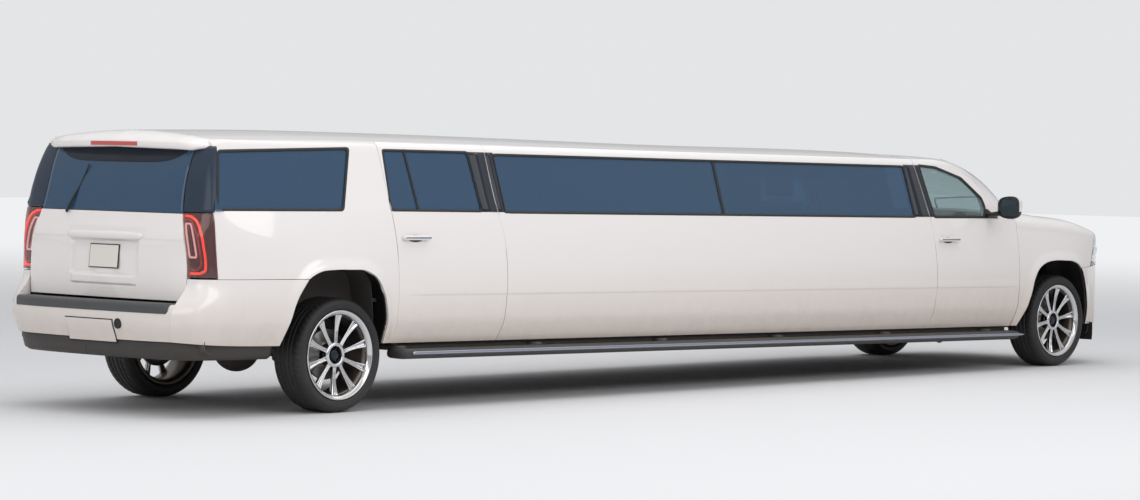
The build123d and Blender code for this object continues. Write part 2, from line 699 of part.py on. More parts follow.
with BuildPart() as cargo_floor:
    add(block((CARGO_FRONT - 20, CARGO_FRONT), (-1000, 1000), (FLOOR_LOW, CARGO)))
    add(block((TAIL + 118, CARGO_FRONT), (-1000, 1000), (CARGO - 25, CARGO)))
    add(both_sides(arch_prism("rear", 14, 700, 1010)), mode=Mode.SUBTRACT)
    add(both_sides(wheelhouse))
    add(inner, mode=Mode.INTERSECT)
    add(both_sides(door_swings[0]), mode=Mode.SUBTRACT)
save(cargo_floor.part, "cargo_floor", TIPPED)
with BuildPart() as bulkhead:
    add(block((FIREWALL + FIT, FIREWALL + 30), (-1000, 1000), (FLOOR_LOW, 1500)))
    add(block((TUNNEL_REAR - 20, FIREWALL + 30), (-200, 200), (FLOOR + FIT, 800)))
    add(tunnel_bore, mode=Mode.SUBTRACT)
    add(inner, mode=Mode.INTERSECT)
    for swing in door_swings:
        add(both_sides(swing), mode=Mode.SUBTRACT)
save(bulkhead.part, "bulkhead", TIPPED)

# Chassis frame: two box rails with a kick-up over the rear axle, crossmembers and body mounts
RAIL_IN, RAIL_OUT = 427, 503
RAIL_DEPTH = 120
RAIL_LINE = (
    (TAIL + TAIL_WALL, 535), (-620, 535), (-420, 670), (160, 670), (465, 440), (7500, 440), (7860, 466), (BEAM[0], 500))
CROSS_LOW, CROSS_HIGH = 380, 440
CROSSMEMBERS = {
    # name: station, low, high
    "tail": (-1080, 490, 570),
    "axle": (-370, 640, 700),
    "first": (900, CROSS_LOW, CROSS_HIGH),
    "second": (2400, CROSS_LOW, CROSS_HIGH),
    "third": (4000, CROSS_LOW, CROSS_HIGH),
    "fourth": (5600, CROSS_LOW, CROSS_HIGH),
    "gearbox": (7150, CROSS_LOW, CROSS_HIGH),
    "nose": (9040, 450, 540),
}
BODY_MOUNTS = ((-1000, 595, CARGO - 25), (0, 730, CARGO - 25), (1300, 500, FLOOR_LOW), (3000, 500, FLOOR_LOW),
               (5000, 500, FLOOR_LOW), (6600, 500, FLOOR_LOW))
rail_top = [(x, z + RAIL_DEPTH / 2) for x, z in RAIL_LINE]
rail_outline = rail_top + [(x, z - RAIL_DEPTH) for x, z in reversed(rail_top)]
with BuildPart() as chassis:
    add(both_sides(side_prism(rail_outline, RAIL_IN, RAIL_OUT)))
    for station, low, high in CROSSMEMBERS.values():
        with Locations((station, 0, (low + high) / 2)):
            Box(70, 2 * RAIL_IN + 20, high - low)
    for station, low, high in BODY_MOUNTS:
        for side in (-1, 1):
            with Locations((station, side * (RAIL_IN + RAIL_OUT) / 2, (low + high) / 2)):
                Cylinder(36, high - low)
save(chassis.part, "chassis_frame", TIPPED)

# Engine with gearbox as one plain block, on side mounts
with BuildPart() as engine:
    with Locations((8360, 0, 730)):
        Box(720, 600, 580)
    with Locations((7490, 0, 600.3)):
        Box(1020, 330, 320)
    with Locations([(8300, side * 358, 480) for side in (-1, 1)]):
        Box(120, 2 * (RAIL_IN - 358 - FIT), 50)
save(engine.part, "engine", TIPPED)
save(block((9045, 9100), (-400, 400), (540 + FIT, 1120)), "radiator", TIPPED)

# Propeller shaft with its bearings on the crossmembers
SHAFT = 38
SHAFT_Z = CROSS_HIGH + SHAFT + 9
with BuildPart() as propshaft:
    with Locations(Location(((6978 + 845) / 2, 0, SHAFT_Z), (0, 90, 0))):
        Cylinder(SHAFT, 6978 - 845)
    with BuildLine() as tail_line:
        Line((860, 0, SHAFT_Z), (335, 0, 412))
    with BuildSketch(Plane(tail_line.line @ 0, z_dir=tail_line.line % 0)):
        Circle(SHAFT)
    sweep(path=tail_line.line)
    for station in (2400, 4000, 5600):
        with Locations((station, 0, (CROSS_HIGH + FIT + SHAFT_Z) / 2)):
            Box(60, 90, SHAFT_Z - CROSS_HIGH - FIT)
save(propshaft.part, "propshaft", TIPPED)

# Exhaust outside the right rail, fuel tank outside the left
PIPE = 32
PIPE_Y = -600
PIPE_Z = 440
PIPE_ROUTE = ((7850, -350, 470), (7600, -350, 335), (7250, PIPE_Y, 335), (7000, PIPE_Y, PIPE_Z), (450, PIPE_Y, PIPE_Z),
              (200, PIPE_Y, 545), (-280, PIPE_Y, 545), (-560, PIPE_Y, 420), (TAIL + 100, PIPE_Y, 420))
with BuildPart() as exhaust:
    with BuildLine() as route:
        FilletPolyline(*PIPE_ROUTE, radius=90)
    with BuildSketch(Plane(route.line @ 0, z_dir=route.line % 0)):
        Circle(PIPE)
    sweep(path=route.line)
    with Locations(Location((2400, PIPE_Y, PIPE_Z), (0, 90, 0))):
        Cylinder(FLOOR_LOW - PIPE_Z - FIT, 800)
    for station in (1000, 4200, 5800):
        with Locations((station, PIPE_Y, (PIPE_Z + FLOOR_LOW - FIT) / 2)):
            Box(30, 16, FLOOR_LOW - FIT - PIPE_Z)
save(exhaust.part, "exhaust", TIPPED)
save(block((1900, 3300), (520, 750), (350, FLOOR_LOW - FIT)), "fuel_tank", TIPPED)

# Running boards on brackets under the sills
with BuildPart() as board:
    with BuildSketch(Plane.YZ.offset(500)):
        with BuildLine():
            Polyline((925, 348), (1040, 348), (1078, 375), (1078, 404), (1060, 420), (925, 420), close=True)
        make_face()
    extrude(amount=7300)
    with Locations([(600 + 1360 * bracket, 880, 420) for bracket in range(6)]):
        Box(90, 210, 38)
save(both_sides(cut(board.part, block((0, 9000), (700, 920), (440 - FIT, 600)))), "running_boards", TIPPED)

# Seats: two front buckets, a rear bench and a long side bench
FRONT_SEAT = (
    (6330, FLOOR), (7000, FLOOR), (7000, 870), (6600, 900), (6470, 1450), (6440, 1640), (6360, 1640), (6330, 1400))
REAR_BENCH = ((-330, CARGO), (430, CARGO), (430, 980), (20, 960), (-170, 1480), (-330, 1480))
with BuildPart() as seats:
    add(both_sides(side_prism(FRONT_SEAT, 215, 700, 30)))
    add(side_prism(REAR_BENCH, -660, 660, 30))
    with BuildSketch(Plane.YZ.offset(1700)) as bench:
        with BuildLine():
            Polyline((400, FLOOR), (830, FLOOR), (830, 1290), (760, 1290), (700, 960), (400, 960), close=True)
        make_face()
        fillet(bench.vertices().group_by(Axis.X)[-1], 25)
    extrude(amount=4000)
save(seats.part, "seats", TIPPED)

# Partition behind the front seats and the drinks cabinet
with BuildPart() as furniture:
    add(meet(room, block((6150, 6190), (-1000, 1000), (FLOOR, 1900))))
    add(block((6100, 6250), (-480, 480), (1250, 1640)), mode=Mode.SUBTRACT)
    add(block((2200, 5400), (-828, -470), (FLOOR, 1120)))
save(furniture.part, "cabin_furniture", TIPPED)

# Dashboard and steering wheel
DASH = ((7420, 960), (7370, 1180), (7430, 1290), (7580, 1335), (FIREWALL, 1345), (FIREWALL, 880))
DRIVER = 410
with BuildPart() as dashboard:
    add(side_prism(DASH, -826, 826, 20))
save(dashboard.part, "dashboard", TIPPED)
wheel_plane = Plane(origin=(7170, DRIVER, 1190), z_dir=(-1, 0, tan(radians(25))))
with BuildPart() as steering:
    with Locations(wheel_plane.location):
        Torus(183, 15)
        Cylinder(48, 40)
    with BuildSketch(wheel_plane.offset(-6)):
        for turn in (0, 90, 180):
            with Locations(Location((0, 0, 0), (0, 0, turn + 90))):
                with Locations((92, 0)):
                    Rectangle(184, 34)
    extrude(amount=12)
    with BuildSketch(wheel_plane):
        Circle(24)
    extrude(amount=-300)
    add(dashboard.part, mode=Mode.SUBTRACT)
save(steering.part, "steering_wheel", TIPPED)

# Rear axle, level on the wheels
AXLE_Z = TYRE_RADIUS
WHEEL_Y = TRACK / 2
SEAT = 35
STUB = 34.7
FACE = WHEEL_Y - 36
SPRING_TOP = 609
with BuildPart() as rear_axle:
    with Locations(Location((0, 0, AXLE_Z), (90, 0, 0))):
        Cylinder(42, 2 * (FACE - FIT))
        Cylinder(STUB, 2 * (WHEEL_Y + 20))
    with Locations((0, 30, AXLE_Z)):
        Sphere(165)
    with Locations(Location((190, 0, 400), (0, 90, 0))):
        Cylinder(62, 280)
    with Locations([(0, side * 465, (AXLE_Z + SPRING_TOP) / 2) for side in (-1, 1)]):
        Cylinder(58, SPRING_TOP - AXLE_Z)
    for side in (-1, 1):
        with BuildLine() as link:
            Line((0, side * 350, 335), (864, side * 350, 398))
        with BuildSketch(Plane(link.line @ 0, z_dir=link.line % 0)):
            Circle(22)
        sweep(path=link.line)
save(rear_axle.part, "rear_axle", LEVEL)

# Front arms with the kingpins, and the knuckles that turn on them
KINGPIN = 790
ARM_ROOT = RAIL_OUT + FIT
with BuildPart() as arms:
    with BuildSketch(Plane.YZ.offset(WHEELBASE - 50)):
        with BuildLine():
            Polyline((ARM_ROOT, 355), (ARM_ROOT, 322), (735, 205), (810, 205), (810, 235), (750, 235), close=True)
        make_face()
        with BuildLine():
            Polyline((ARM_ROOT, 432), (ARM_ROOT, 405), (740, 545), (810, 545), (810, 572), (725, 572), close=True)
        make_face()
    extrude(amount=100)
    with Locations((WHEELBASE, KINGPIN, 250), (WHEELBASE, KINGPIN, 530)):
        Cylinder(9, 40)
save(both_sides(arms.part), "front_suspension", LEVEL)
with BuildPart() as knuckle:
    with Locations((WHEELBASE, KINGPIN, 390)):
        Box(80, 44, 310 - 2 * FIT)
    with Locations((WHEELBASE, KINGPIN, 250), (WHEELBASE, KINGPIN, 530)):
        Cylinder(9 + FIT, 41, mode=Mode.SUBTRACT)
    with BuildSketch(Plane.XZ.offset(-KINGPIN)):
        with Locations((WHEELBASE, AXLE_Z)):
            Circle(58)
    extrude(amount=-(FACE - FIT - KINGPIN))
    with BuildSketch(Plane.XZ.offset(-KINGPIN)):
        with Locations((WHEELBASE, AXLE_Z)):
            Circle(STUB)
    extrude(amount=-(WHEEL_Y + 20 - KINGPIN))
save(knuckle.part, "knuckle_left", LEVEL)
save(mirrored(knuckle.part), "knuckle_right", LEVEL)

# Wheels: turned rim with paired spokes, hub and brake disc, and the tyre round it
wheel_axis = Axis((0, 0, AXLE_Z), (0, 1, 0))
LIP = 128
BEAD_SEAT = 286
RIM_PROFILE = (
    # across from the wheel's middle, radius
    (-LIP, 270), (-LIP, RIM_RADIUS), (-LIP + 10, RIM_RADIUS), (-LIP + 14, BEAD_SEAT), (-90, BEAD_SEAT), (-60, 280),
    (-30, 264), (40, 264), (65, 280), (90, BEAD_SEAT), (LIP - 14, BEAD_SEAT), (LIP - 10, RIM_RADIUS),
    (LIP, RIM_RADIUS), (LIP, 284), (90, 268), (40, RIM_BARREL), (-30, RIM_BARREL),
)
TYRE_SIDE = (
    # across from the wheel's middle, radius: bead, its heel, the wall's widest point, shoulder, tread's edge
    (108, BEAD_SEAT + FIT), (112, RIM_RADIUS + 1), (TYRE_WIDTH / 2, 340), (112, TYRE_RADIUS - 6), (88, TYRE_RADIUS),
)
with BuildPart() as rim:
    with BuildSketch(Plane.YZ):
        with BuildLine():
            Polyline(
                *((WHEEL_Y + across, AXLE_Z + radius) for across, radius in RIM_PROFILE),
                close=True)
        make_face()
    revolve(axis=wheel_axis)
    with BuildSketch(Plane.XZ.offset(-(WHEEL_Y + 60))):
        with Locations((0, AXLE_Z)):
            for blade in range(BLADES):
                with Locations(Location((0, 0, 0), (0, 0, 90 + blade * 360 / BLADES))):
                    Polygon((60, -13), (60, 13), (262, 23), (262, -23), align=None)
            Circle(HUB_RADIUS)
    extrude(amount=-38)
    with BuildSketch(Plane.XZ.offset(-(FACE + 22))):
        with Locations((0, AXLE_Z)):
            Circle(62)
    extrude(amount=-(WHEEL_Y + 62 - FACE - 22))
    with BuildSketch(Plane.XZ.offset(-FACE)):
        with Locations((0, AXLE_Z)):
            Circle(DISC_RADIUS)
    extrude(amount=-24)
    with BuildSketch(Plane.XZ.offset(-FACE)):
        with Locations((0, AXLE_Z)):
            Circle(SEAT)
    extrude(amount=-60, mode=Mode.SUBTRACT)
with BuildPart() as tyre:
    with BuildSketch(Plane.YZ):
        with BuildLine():
            outer_side, inner_side = (
                [(WHEEL_Y + side * across, AXLE_Z + radius) for across, radius in TYRE_SIDE] for side in (1, -1))
            for bead, heel, wall, shoulder, tread_edge in (outer_side, inner_side):
                Line(bead, heel)
                ThreePointArc(heel, wall, shoulder)
                Line(shoulder, tread_edge)
            Line(outer_side[-1], inner_side[-1])
            Line(outer_side[0], inner_side[0])
        make_face()
    revolve(axis=wheel_axis)
for end, station in (("rear", 0), ("front", WHEELBASE)):
    for side in ("left", "right"):
        for piece, kind in ((rim.part, "rim"), (tyre.part, "tyre")):
            turned = piece if side == "left" else mirrored(piece)
            save(turned, f"{kind}_{end}_{side}", LEVEL * Location((station, 0, 0)))
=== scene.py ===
"""Looks of a stretched sport utility limousine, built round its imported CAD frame.

Metres. Body pieces are worked out level, X forward from the rear axle, and tipped
nose-down into the road frame once, as the CAD source does.
"""
from math import cos, pi, radians, sin

import bmesh
import bpy
import numpy as np
from mathutils import Matrix


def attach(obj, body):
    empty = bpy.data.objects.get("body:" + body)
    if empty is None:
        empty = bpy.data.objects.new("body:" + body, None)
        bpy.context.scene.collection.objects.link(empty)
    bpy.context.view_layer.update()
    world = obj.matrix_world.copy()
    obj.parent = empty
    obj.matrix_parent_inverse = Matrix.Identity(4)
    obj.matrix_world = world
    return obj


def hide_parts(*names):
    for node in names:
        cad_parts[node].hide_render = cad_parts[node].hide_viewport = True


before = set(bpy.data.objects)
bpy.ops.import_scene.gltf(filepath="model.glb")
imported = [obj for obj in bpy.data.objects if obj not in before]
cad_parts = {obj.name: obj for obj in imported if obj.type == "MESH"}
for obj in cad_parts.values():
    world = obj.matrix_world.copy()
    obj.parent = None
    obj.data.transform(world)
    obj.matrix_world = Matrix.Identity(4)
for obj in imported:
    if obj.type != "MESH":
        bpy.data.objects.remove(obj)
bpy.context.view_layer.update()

# Camera
# A long lens stands low at the right rear, as the photographer did, and leans a little.
YAW, PITCH, ROLL = 0.8315, -0.0313, 0.0151
CAMERA_AT = (-20.2393, -17.8819, 1.8437)
LENS_LENGTH, SENSOR_WIDTH = 110.79, 36
forward = np.array([sin(YAW) * cos(PITCH), cos(YAW) * cos(PITCH), sin(PITCH)])
level_right = np.array([cos(YAW), -sin(YAW), 0.0])
level_up = np.cross(level_right, forward)
lens_right = cos(ROLL) * level_right + sin(ROLL) * level_up
lens_up = cos(ROLL) * level_up - sin(ROLL) * level_right
camera = bpy.data.objects.new("camera", bpy.data.cameras.new("camera"))
bpy.context.scene.collection.objects.link(camera)
camera.data.lens = LENS_LENGTH
camera.data.sensor_width = SENSOR_WIDTH
camera.data.clip_end = 200
placing = np.stack([lens_right, lens_up, -forward, CAMERA_AT], -1)
camera.matrix_world = Matrix([*placing.tolist(), (0, 0, 0, 1)])
bpy.context.scene.camera = camera

# Studio
# A pale matt floor and an even white surround, lit by soft boxes over the roof, at the side and behind.
bpy.context.scene.view_settings.view_transform = "Standard"


def node(tree, kind, inputs=None, **settings):
    """A shader node with its settings; an input is a value or another node's output."""
    made = tree.nodes.new("ShaderNode" + kind)
    for name, value in settings.items():
        setattr(made, name, value)
    for name, value in (inputs or {}).items():
        if isinstance(value, bpy.types.NodeSocket):
            tree.links.new(value, made.inputs[name])
        else:
            made.inputs[name].default_value = value
    return made


def finish_of(name):
    """A new material with its tree, Principled shader and object coordinates."""
    made = bpy.data.materials.new(name)
    made.use_nodes = True
    tree = made.node_tree
    shader = tree.nodes["Principled BSDF"]
    place = node(tree, "TexCoord").outputs["Object"]
    return made, tree, shader, place


floor_finish, tree, shader, place = finish_of("studio_floor")
shader.inputs["Roughness"].default_value = 0.85
spread = node(tree, "VectorMath", {0: place}, operation="LENGTH").outputs["Value"]
haze = node(tree, "MapRange", {"Value": spread, "From Min": 9.0, "From Max": 34.0},
            interpolation_type="SMOOTHSTEP").outputs["Result"]
ground = node(tree, "Mix", {"Factor": haze, "A": (0.68, 0.68, 0.69, 1), "B": (0.02, 0.02, 0.02, 1)},
              data_type="RGBA")
tree.links.new(ground.outputs["Result"], shader.inputs["Base Color"])
shader.inputs["Emission Color"].default_value = (0.79, 0.80, 0.81, 1)
tree.links.new(haze, shader.inputs["Emission Strength"])
FLOOR_HALF = 60
corners = [(FLOOR_HALF * x, FLOOR_HALF * y, 0) for x, y in ((-1, -1), (1, -1), (1, 1), (-1, 1))]
grid = bpy.data.meshes.new("studio_floor")
grid.from_pydata(corners, [], [(0, 1, 2, 3)])
studio_floor = bpy.data.objects.new("studio_floor", grid)
grid.materials.append(floor_finish)
bpy.context.scene.collection.objects.link(studio_floor)

world = bpy.data.worlds.new("studio")
bpy.context.scene.world = world
world.use_nodes = True
tree = world.node_tree
seen = node(tree, "LightPath")
rise = node(tree, "SeparateXYZ", {"Vector": node(tree, "TexCoord").outputs["Generated"]}).outputs["Z"]
sky = node(tree, "ValToRGB", {"Fac": rise})
sky.color_ramp.elements[0].color = (0.46, 0.46, 0.47, 1)
sky.color_ramp.elements[1].color = (0.92, 0.93, 0.95, 1)
sky.color_ramp.elements[0].position = 0.0
sky.color_ramp.elements[1].position = 0.7
direct = node(tree, "Mix", {"Factor": seen.outputs["Is Camera Ray"], "A": sky.outputs["Color"],
                            "B": (0.86, 0.87, 0.88, 1)}, data_type="RGBA")
tree.links.new(direct.outputs["Result"], tree.nodes["Background"].inputs["Color"])
tree.nodes["Background"].inputs["Strength"].default_value = 0.9

for name, place_at, turn, size, power in (
    ("roof_box", (-1, -1, 7.0), (0, 0, 0), (14, 7), 260),
    ("side_box", (-4, -9, 4.6), (62, 0, 0), (15, 2.4), 260),
    ("rear_box", (-11.5, -2, 3.8), (0, 66, 180), (3, 6), 90),
):
    lamp = bpy.data.lights.new(name, "AREA")
    lamp.shape = "RECTANGLE"
    lamp.size, lamp.size_y = size
    lamp.energy = power
    light = bpy.data.objects.new(name, lamp)
    light.location = place_at
    light.rotation_euler = [radians(angle) for angle in turn]
    bpy.context.scene.collection.objects.link(light)

# Body side surface
# Pressed steel over a long frame, painted white: a tucked-in sill, a sharp low crease,
# and glass that leans in towards the roof. Its rear and front ends curl in plan.
RAKE = radians(0.728)
MIDDLE = 3.9835
PROUD = 0.0025
SILL, CREASE, BELT, RAIL, SEAM = 0.457, 0.786, 1.337, 1.76, 1.803
FOOT_Z, SHOULDER_Z = 0.455, 1.345
FOOT_Y, CREASE_Y, SHOULDER_Y = 0.962, 1.0225, 0.960


def smooth(value):
    """A soft step from 0 to 1."""
    value = np.clip(value, 0, 1)
    return value * value * (3 - 2 * value)


def spline(knots, values):
    """A smooth function through knots: cubics whose slopes are those of the neighbours' chords."""
    knots, values = np.asarray(knots, float), np.asarray(values, float)
    slopes = np.gradient(values, knots)

    def at(x):
        x = np.clip(x, knots[0], knots[-1])
        i = np.clip(np.searchsorted(knots, x, side="right") - 1, 0, len(knots) - 2)
        span = knots[i + 1] - knots[i]
        t = (x - knots[i]) / span
        return ((2 * t**3 - 3 * t**2 + 1) * values[i] + (t**3 - 2 * t**2 + t) * span * slopes[i]
                + (3 * t**2 - 2 * t**3) * values[i + 1] + (t**3 - t**2) * span * slopes[i + 1])
    return at


def bowed(z, low, high, y_low, y_high, bulge):
    """Half width between two heights: a straight run plus a parabola."""
    along = np.clip((z - low) / (high - low), 0, 1)
    return y_low + (y_high - y_low) * along + 4 * bulge * along * (1 - along)


rear_line = spline([0.40, 0.74, 0.95, 1.14, 1.31, 1.73, 1.82],
                   [-1.222, -1.238, -1.248, -1.228, -1.193, -1.078, -1.03])
front_line = spline([0.40, 0.64, 0.80, 1.0, 1.17, 1.3], [9.308, 9.334, 9.324, 9.278, 9.22, 9.15])
rear_plan = spline([-1.26, -1.235, -1.225, -1.19, -1.15, -1.10, -1.045, -0.9, -0.775, -0.6, -0.3],
                   [0.02, 0.20, 0.45, 0.83, 0.925, 0.965, 0.99, 1.03, 1.06, 1.12, 1.25])
rear_end = spline([0, 0.008, 0.02, 0.035, 0.055, 0.08, 0.12, 0.2, 0.3],
                  [0, 0.42, 0.70, 0.84, 0.92, 0.98, 1.06, 1.2, 1.25])
front_plan = spline([8.2, 8.40, 8.55, 8.70, 8.80, 8.946, 9.08, 9.195, 9.26, 9.342, 9.372],
                    [1.25, 1.12, 1.06, 1.025, 1.0, 0.962, 0.893, 0.782, 0.642, 0.33, 0.02])
front_end = spline([0, 0.02, 0.05, 0.09, 0.14, 0.2, 0.3, 0.45], [0, 0.35, 0.64, 0.80, 0.90, 0.98, 1.1, 1.25])
EASE = 40


def skin(x, z):
    """Half width of the painted skin: the least of the section's and the plan's, eased where they cross."""
    x, z = np.asarray(x, float), np.asarray(z, float)
    low = bowed(z, FOOT_Z, CREASE, FOOT_Y, CREASE_Y, 0.012)
    high = bowed(z, CREASE, SHOULDER_Z, CREASE_Y, SHOULDER_Y, 0.017)
    over = np.clip(z - RAIL, 0, 1)
    leaning = SHOULDER_Y - 0.294 * (z - SHOULDER_Z) - 4.6 * over**2
    half = np.where(z < CREASE, low, np.where(z < SHOULDER_Z, high, leaning)) + PROUD
    long_run = smooth((x - 0.55) / 0.25) * smooth((7.8 - x) / 0.2)
    half = half + 0.006 * np.exp(-((z - 0.61) / 0.055) ** 2)
    half = half + 0.0055 * long_run * smooth((z - 0.776) / 0.012) * (1 - smooth((z - 0.80) / 0.42))
    limits = (half, rear_plan(x), rear_end(x - rear_line(z)), front_plan(x), front_end(front_line(z) - x))
    return sum(np.maximum(limit, 0.001) ** -float(EASE) for limit in limits) ** (-1 / EASE)


def end_face(y, z, end):
    """Station where the rear (-1) or front (1) face reaches half width y at height z, by halving."""
    y, z = np.broadcast_arrays(np.abs(y), z)
    near = (rear_line if end < 0 else front_line)(z)
    far = near - 0.9 * end
    for _ in range(26):
        middle = (near + far) / 2
        short = skin(middle, z) < y
        near, far = np.where(short, middle, near), np.where(short, far, middle)
    return far


def tipped(points):
    """Level body points in the road frame."""
    x, y, z = np.moveaxis(np.asarray(points, float), -1, 0)
    return np.stack([x * cos(RAKE) + z * sin(RAKE) - MIDDLE, y, z * cos(RAKE) - x * sin(RAKE)], -1)


def resample(points, count):
    """Points evenly spaced by length along a polyline."""
    points = np.asarray(points, float)
    run = np.concatenate([[0], np.cumsum(np.linalg.norm(np.diff(points, axis=0), axis=1))])
    at = np.linspace(0, run[-1], count)
    return np.stack([np.interp(at, run, points[:, k]) for k in range(points.shape[1])], -1)


def curve(points, count):
    """A smooth curve through points, cubic by length run, evenly resampled."""
    points = np.asarray(points, float)
    run = np.concatenate([[0], np.cumsum(np.linalg.norm(np.diff(points, axis=0), axis=1))])
    at = np.linspace(0, run[-1], 30 * len(points))
    return resample(np.stack([spline(run, points[:, k])(at) for k in range(points.shape[1])], -1), count)


def rounded_edges(corners, radius, counts):
    """Each side of a polygon from mid-corner to mid-corner, its corners eased by parabolas."""
    corners = np.asarray(corners, float)
    to_next = np.roll(corners, -1, 0) - corners
    ahead = to_next / np.linalg.norm(to_next, axis=1, keepdims=True)
    back = -np.roll(ahead, 1, 0)
    edges = []
    for i, count in enumerate(counts):
        j = (i + 1) % len(corners)
        late = np.linspace(0.5, 1, 9)[:, None]
        early = np.linspace(0, 0.5, 9)[:, None]
        leave = corners[i] + radius * ((1 - late) ** 2 * back[i] + late**2 * ahead[i])
        arrive = corners[j] + radius * ((1 - early) ** 2 * back[j] + early**2 * ahead[j])
        edges.append(resample(np.concatenate([leave, arrive]), count + 1)[:-1])
    return edges


def between(first, second, shares):
    """A grid of points from one curve to another, a row for each share of the way."""
    shares = np.asarray(shares, float)[:, None, None]
    return first[None] * (1 - shares) + second[None] * shares


def on_side(xz, extra=0.0):
    """Side-view points put on the left-hand skin."""
    x, z = xz[..., 0], xz[..., 1]
    return np.stack([x, skin(x, z) + extra, z], -1)


def grid_faces(rows, columns, around):
    """Quads of a grid of points; around joins its last column to its first."""
    r = np.arange(rows - 1)[:, None] * columns
    c = np.arange(columns if around else columns - 1)[None]
    d = (c + 1) % columns
    return np.stack([r + c, r + d, r + columns + d, r + columns + c], -1).reshape(-1, 4)


def surface(name, patches, material, body, wall=0.0, edge=0.0, axis_at=None, level=True, replaces=()):
    """A piece from grids of points, its faces turned out from axis_at and its doubles merged.

    Each patch is a (rows, columns, 3) array, or a pair of it and True where the columns close.
    """
    points, faces, start = [], [], 0
    for patch in patches:
        patch, around = patch if isinstance(patch, tuple) else (patch, False)
        quads = grid_faces(patch.shape[0], patch.shape[1], around)
        flat = patch.reshape(-1, 3)
        corners = flat[quads]
        normals = np.cross(corners[:, 2] - corners[:, 0], corners[:, 3] - corners[:, 1])
        centre = np.array(axis_at) if axis_at is not None else np.array([flat[:, 0].mean(), 0, 0.9])
        away = corners.mean(1) - centre
        if axis_at is None:
            away = away * (0, 1, 0.5)
        if (normals * away).sum() < 0:
            quads = quads[:, ::-1]
        points.append(flat)
        faces.append(quads + start)
        start += len(flat)
    points = np.concatenate(points)
    mesh = bpy.data.meshes.new(name)
    mesh.from_pydata((tipped(points) if level else points).tolist(), [], np.concatenate(faces).tolist())
    work = bmesh.new()
    work.from_mesh(mesh)
    bmesh.ops.remove_doubles(work, verts=work.verts, dist=0.00005)
    bmesh.ops.dissolve_degenerate(work, edges=work.edges, dist=0.00002)
    work.to_mesh(mesh)
    work.free()
    mesh.polygons.foreach_set("use_smooth", np.ones(len(mesh.polygons), bool))
    mesh.materials.append(material)
    piece = bpy.data.objects.new(name, mesh)
    bpy.context.scene.collection.objects.link(piece)
    if wall:
        shell = piece.modifiers.new("wall", "SOLIDIFY")
        shell.thickness, shell.offset, shell.use_even_offset = wall, -1, False
    if edge:
        ease = piece.modifiers.new("edge", "BEVEL")
        ease.width, ease.segments, ease.limit_method, ease.angle_limit = edge, 2, "ANGLE", radians(50)
        ease.harden_normals = True
    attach(piece, body)
    if replaces:
        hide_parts(*replaces)
    return piece


def mirror_y(points):
    """The other side's copy of level points."""
    return points * (1, -1, 1)


# White paint
# Gloss white over primer under clear lacquer, tinted warm as a painted reflection, with a warmer, darker film
# low down that is road dust and a painted reflection of the road.


def group(name, inputs, outputs):
    """A shader group with named sockets, each given as name, kind and default."""
    made = bpy.data.node_groups.new(name, "ShaderNodeTree")
    for label, kind, default in inputs:
        socket = made.interface.new_socket(label, in_out="INPUT", socket_type="NodeSocket" + kind)
        socket.default_value = default
    for label, kind in outputs:
        made.interface.new_socket(label, in_out="OUTPUT", socket_type="NodeSocket" + kind)
    return made, made.nodes.new("NodeGroupInput"), made.nodes.new("NodeGroupOutput")


# The mask of a warm tint low on the vehicle: road dust, and on the paint a painted reflection of the road.
dust_and_road_reflection, given, out = group(
    "dust_and_road_reflection",
    (("Clean above", "Float", 0.9), ("Amount", "Float", 0.5), ("Grain", "Float", 9.0)),
    (("Mask", "Float"),),
)
spot = node(dust_and_road_reflection, "TexCoord").outputs["Object"]
height = node(dust_and_road_reflection, "SeparateXYZ", {"Vector": spot}).outputs["Z"]
cloud = node(dust_and_road_reflection, "TexNoise", {"Vector": spot, "Scale": given.outputs["Grain"], "Detail": 6.0,
                                     "Roughness": 0.65})
lowness = node(dust_and_road_reflection, "MapRange", {"Value": height, "From Min": given.outputs["Clean above"],
                                       "From Max": 0.3, "To Min": 0.0, "To Max": 1.0},
               interpolation_type="SMOOTHSTEP")
shade = node(dust_and_road_reflection, "MapRange", {"Value": cloud.outputs["Fac"], "From Min": 0.3, "From Max": 0.75,
                                     "To Min": 0.80, "To Max": 1.04})
low_part = node(dust_and_road_reflection, "Math", {0: lowness.outputs["Result"], 1: shade.outputs["Result"]},
                operation="MULTIPLY")
mask = node(dust_and_road_reflection, "Math", {0: low_part.outputs[0], 1: given.outputs["Amount"]}, operation="MULTIPLY",
            use_clamp=True)
dust_and_road_reflection.links.new(mask.outputs[0], out.inputs["Mask"])

fine_bump, given, out = group(
    "fine_bump",
    (("Scale", "Float", 200.0), ("Strength", "Float", 0.2), ("Depth", "Float", 0.001)),
    (("Normal", "Vector"),),
)
spot = node(fine_bump, "TexCoord").outputs["Object"]
rough = node(fine_bump, "TexNoise", {"Vector": spot, "Scale": given.outputs["Scale"], "Detail": 3.0})
bump = node(fine_bump, "Bump", {"Height": rough.outputs["Fac"], "Strength": given.outputs["Strength"],
                                "Distance": given.outputs["Depth"]})
fine_bump.links.new(bump.outputs["Normal"], out.inputs["Normal"])


def grouped(tree, kind, inputs):
    """One use of a shader group."""
    made = tree.nodes.new("ShaderNodeGroup")
    made.node_tree = kind
    for name, value in inputs.items():
        made.inputs[name].default_value = value
    return made


# Warm dust colour, which low on the paint is also a painted reflection of the road.
DUST_AND_ROAD_REFLECTION = (0.50, 0.41, 0.33, 1)


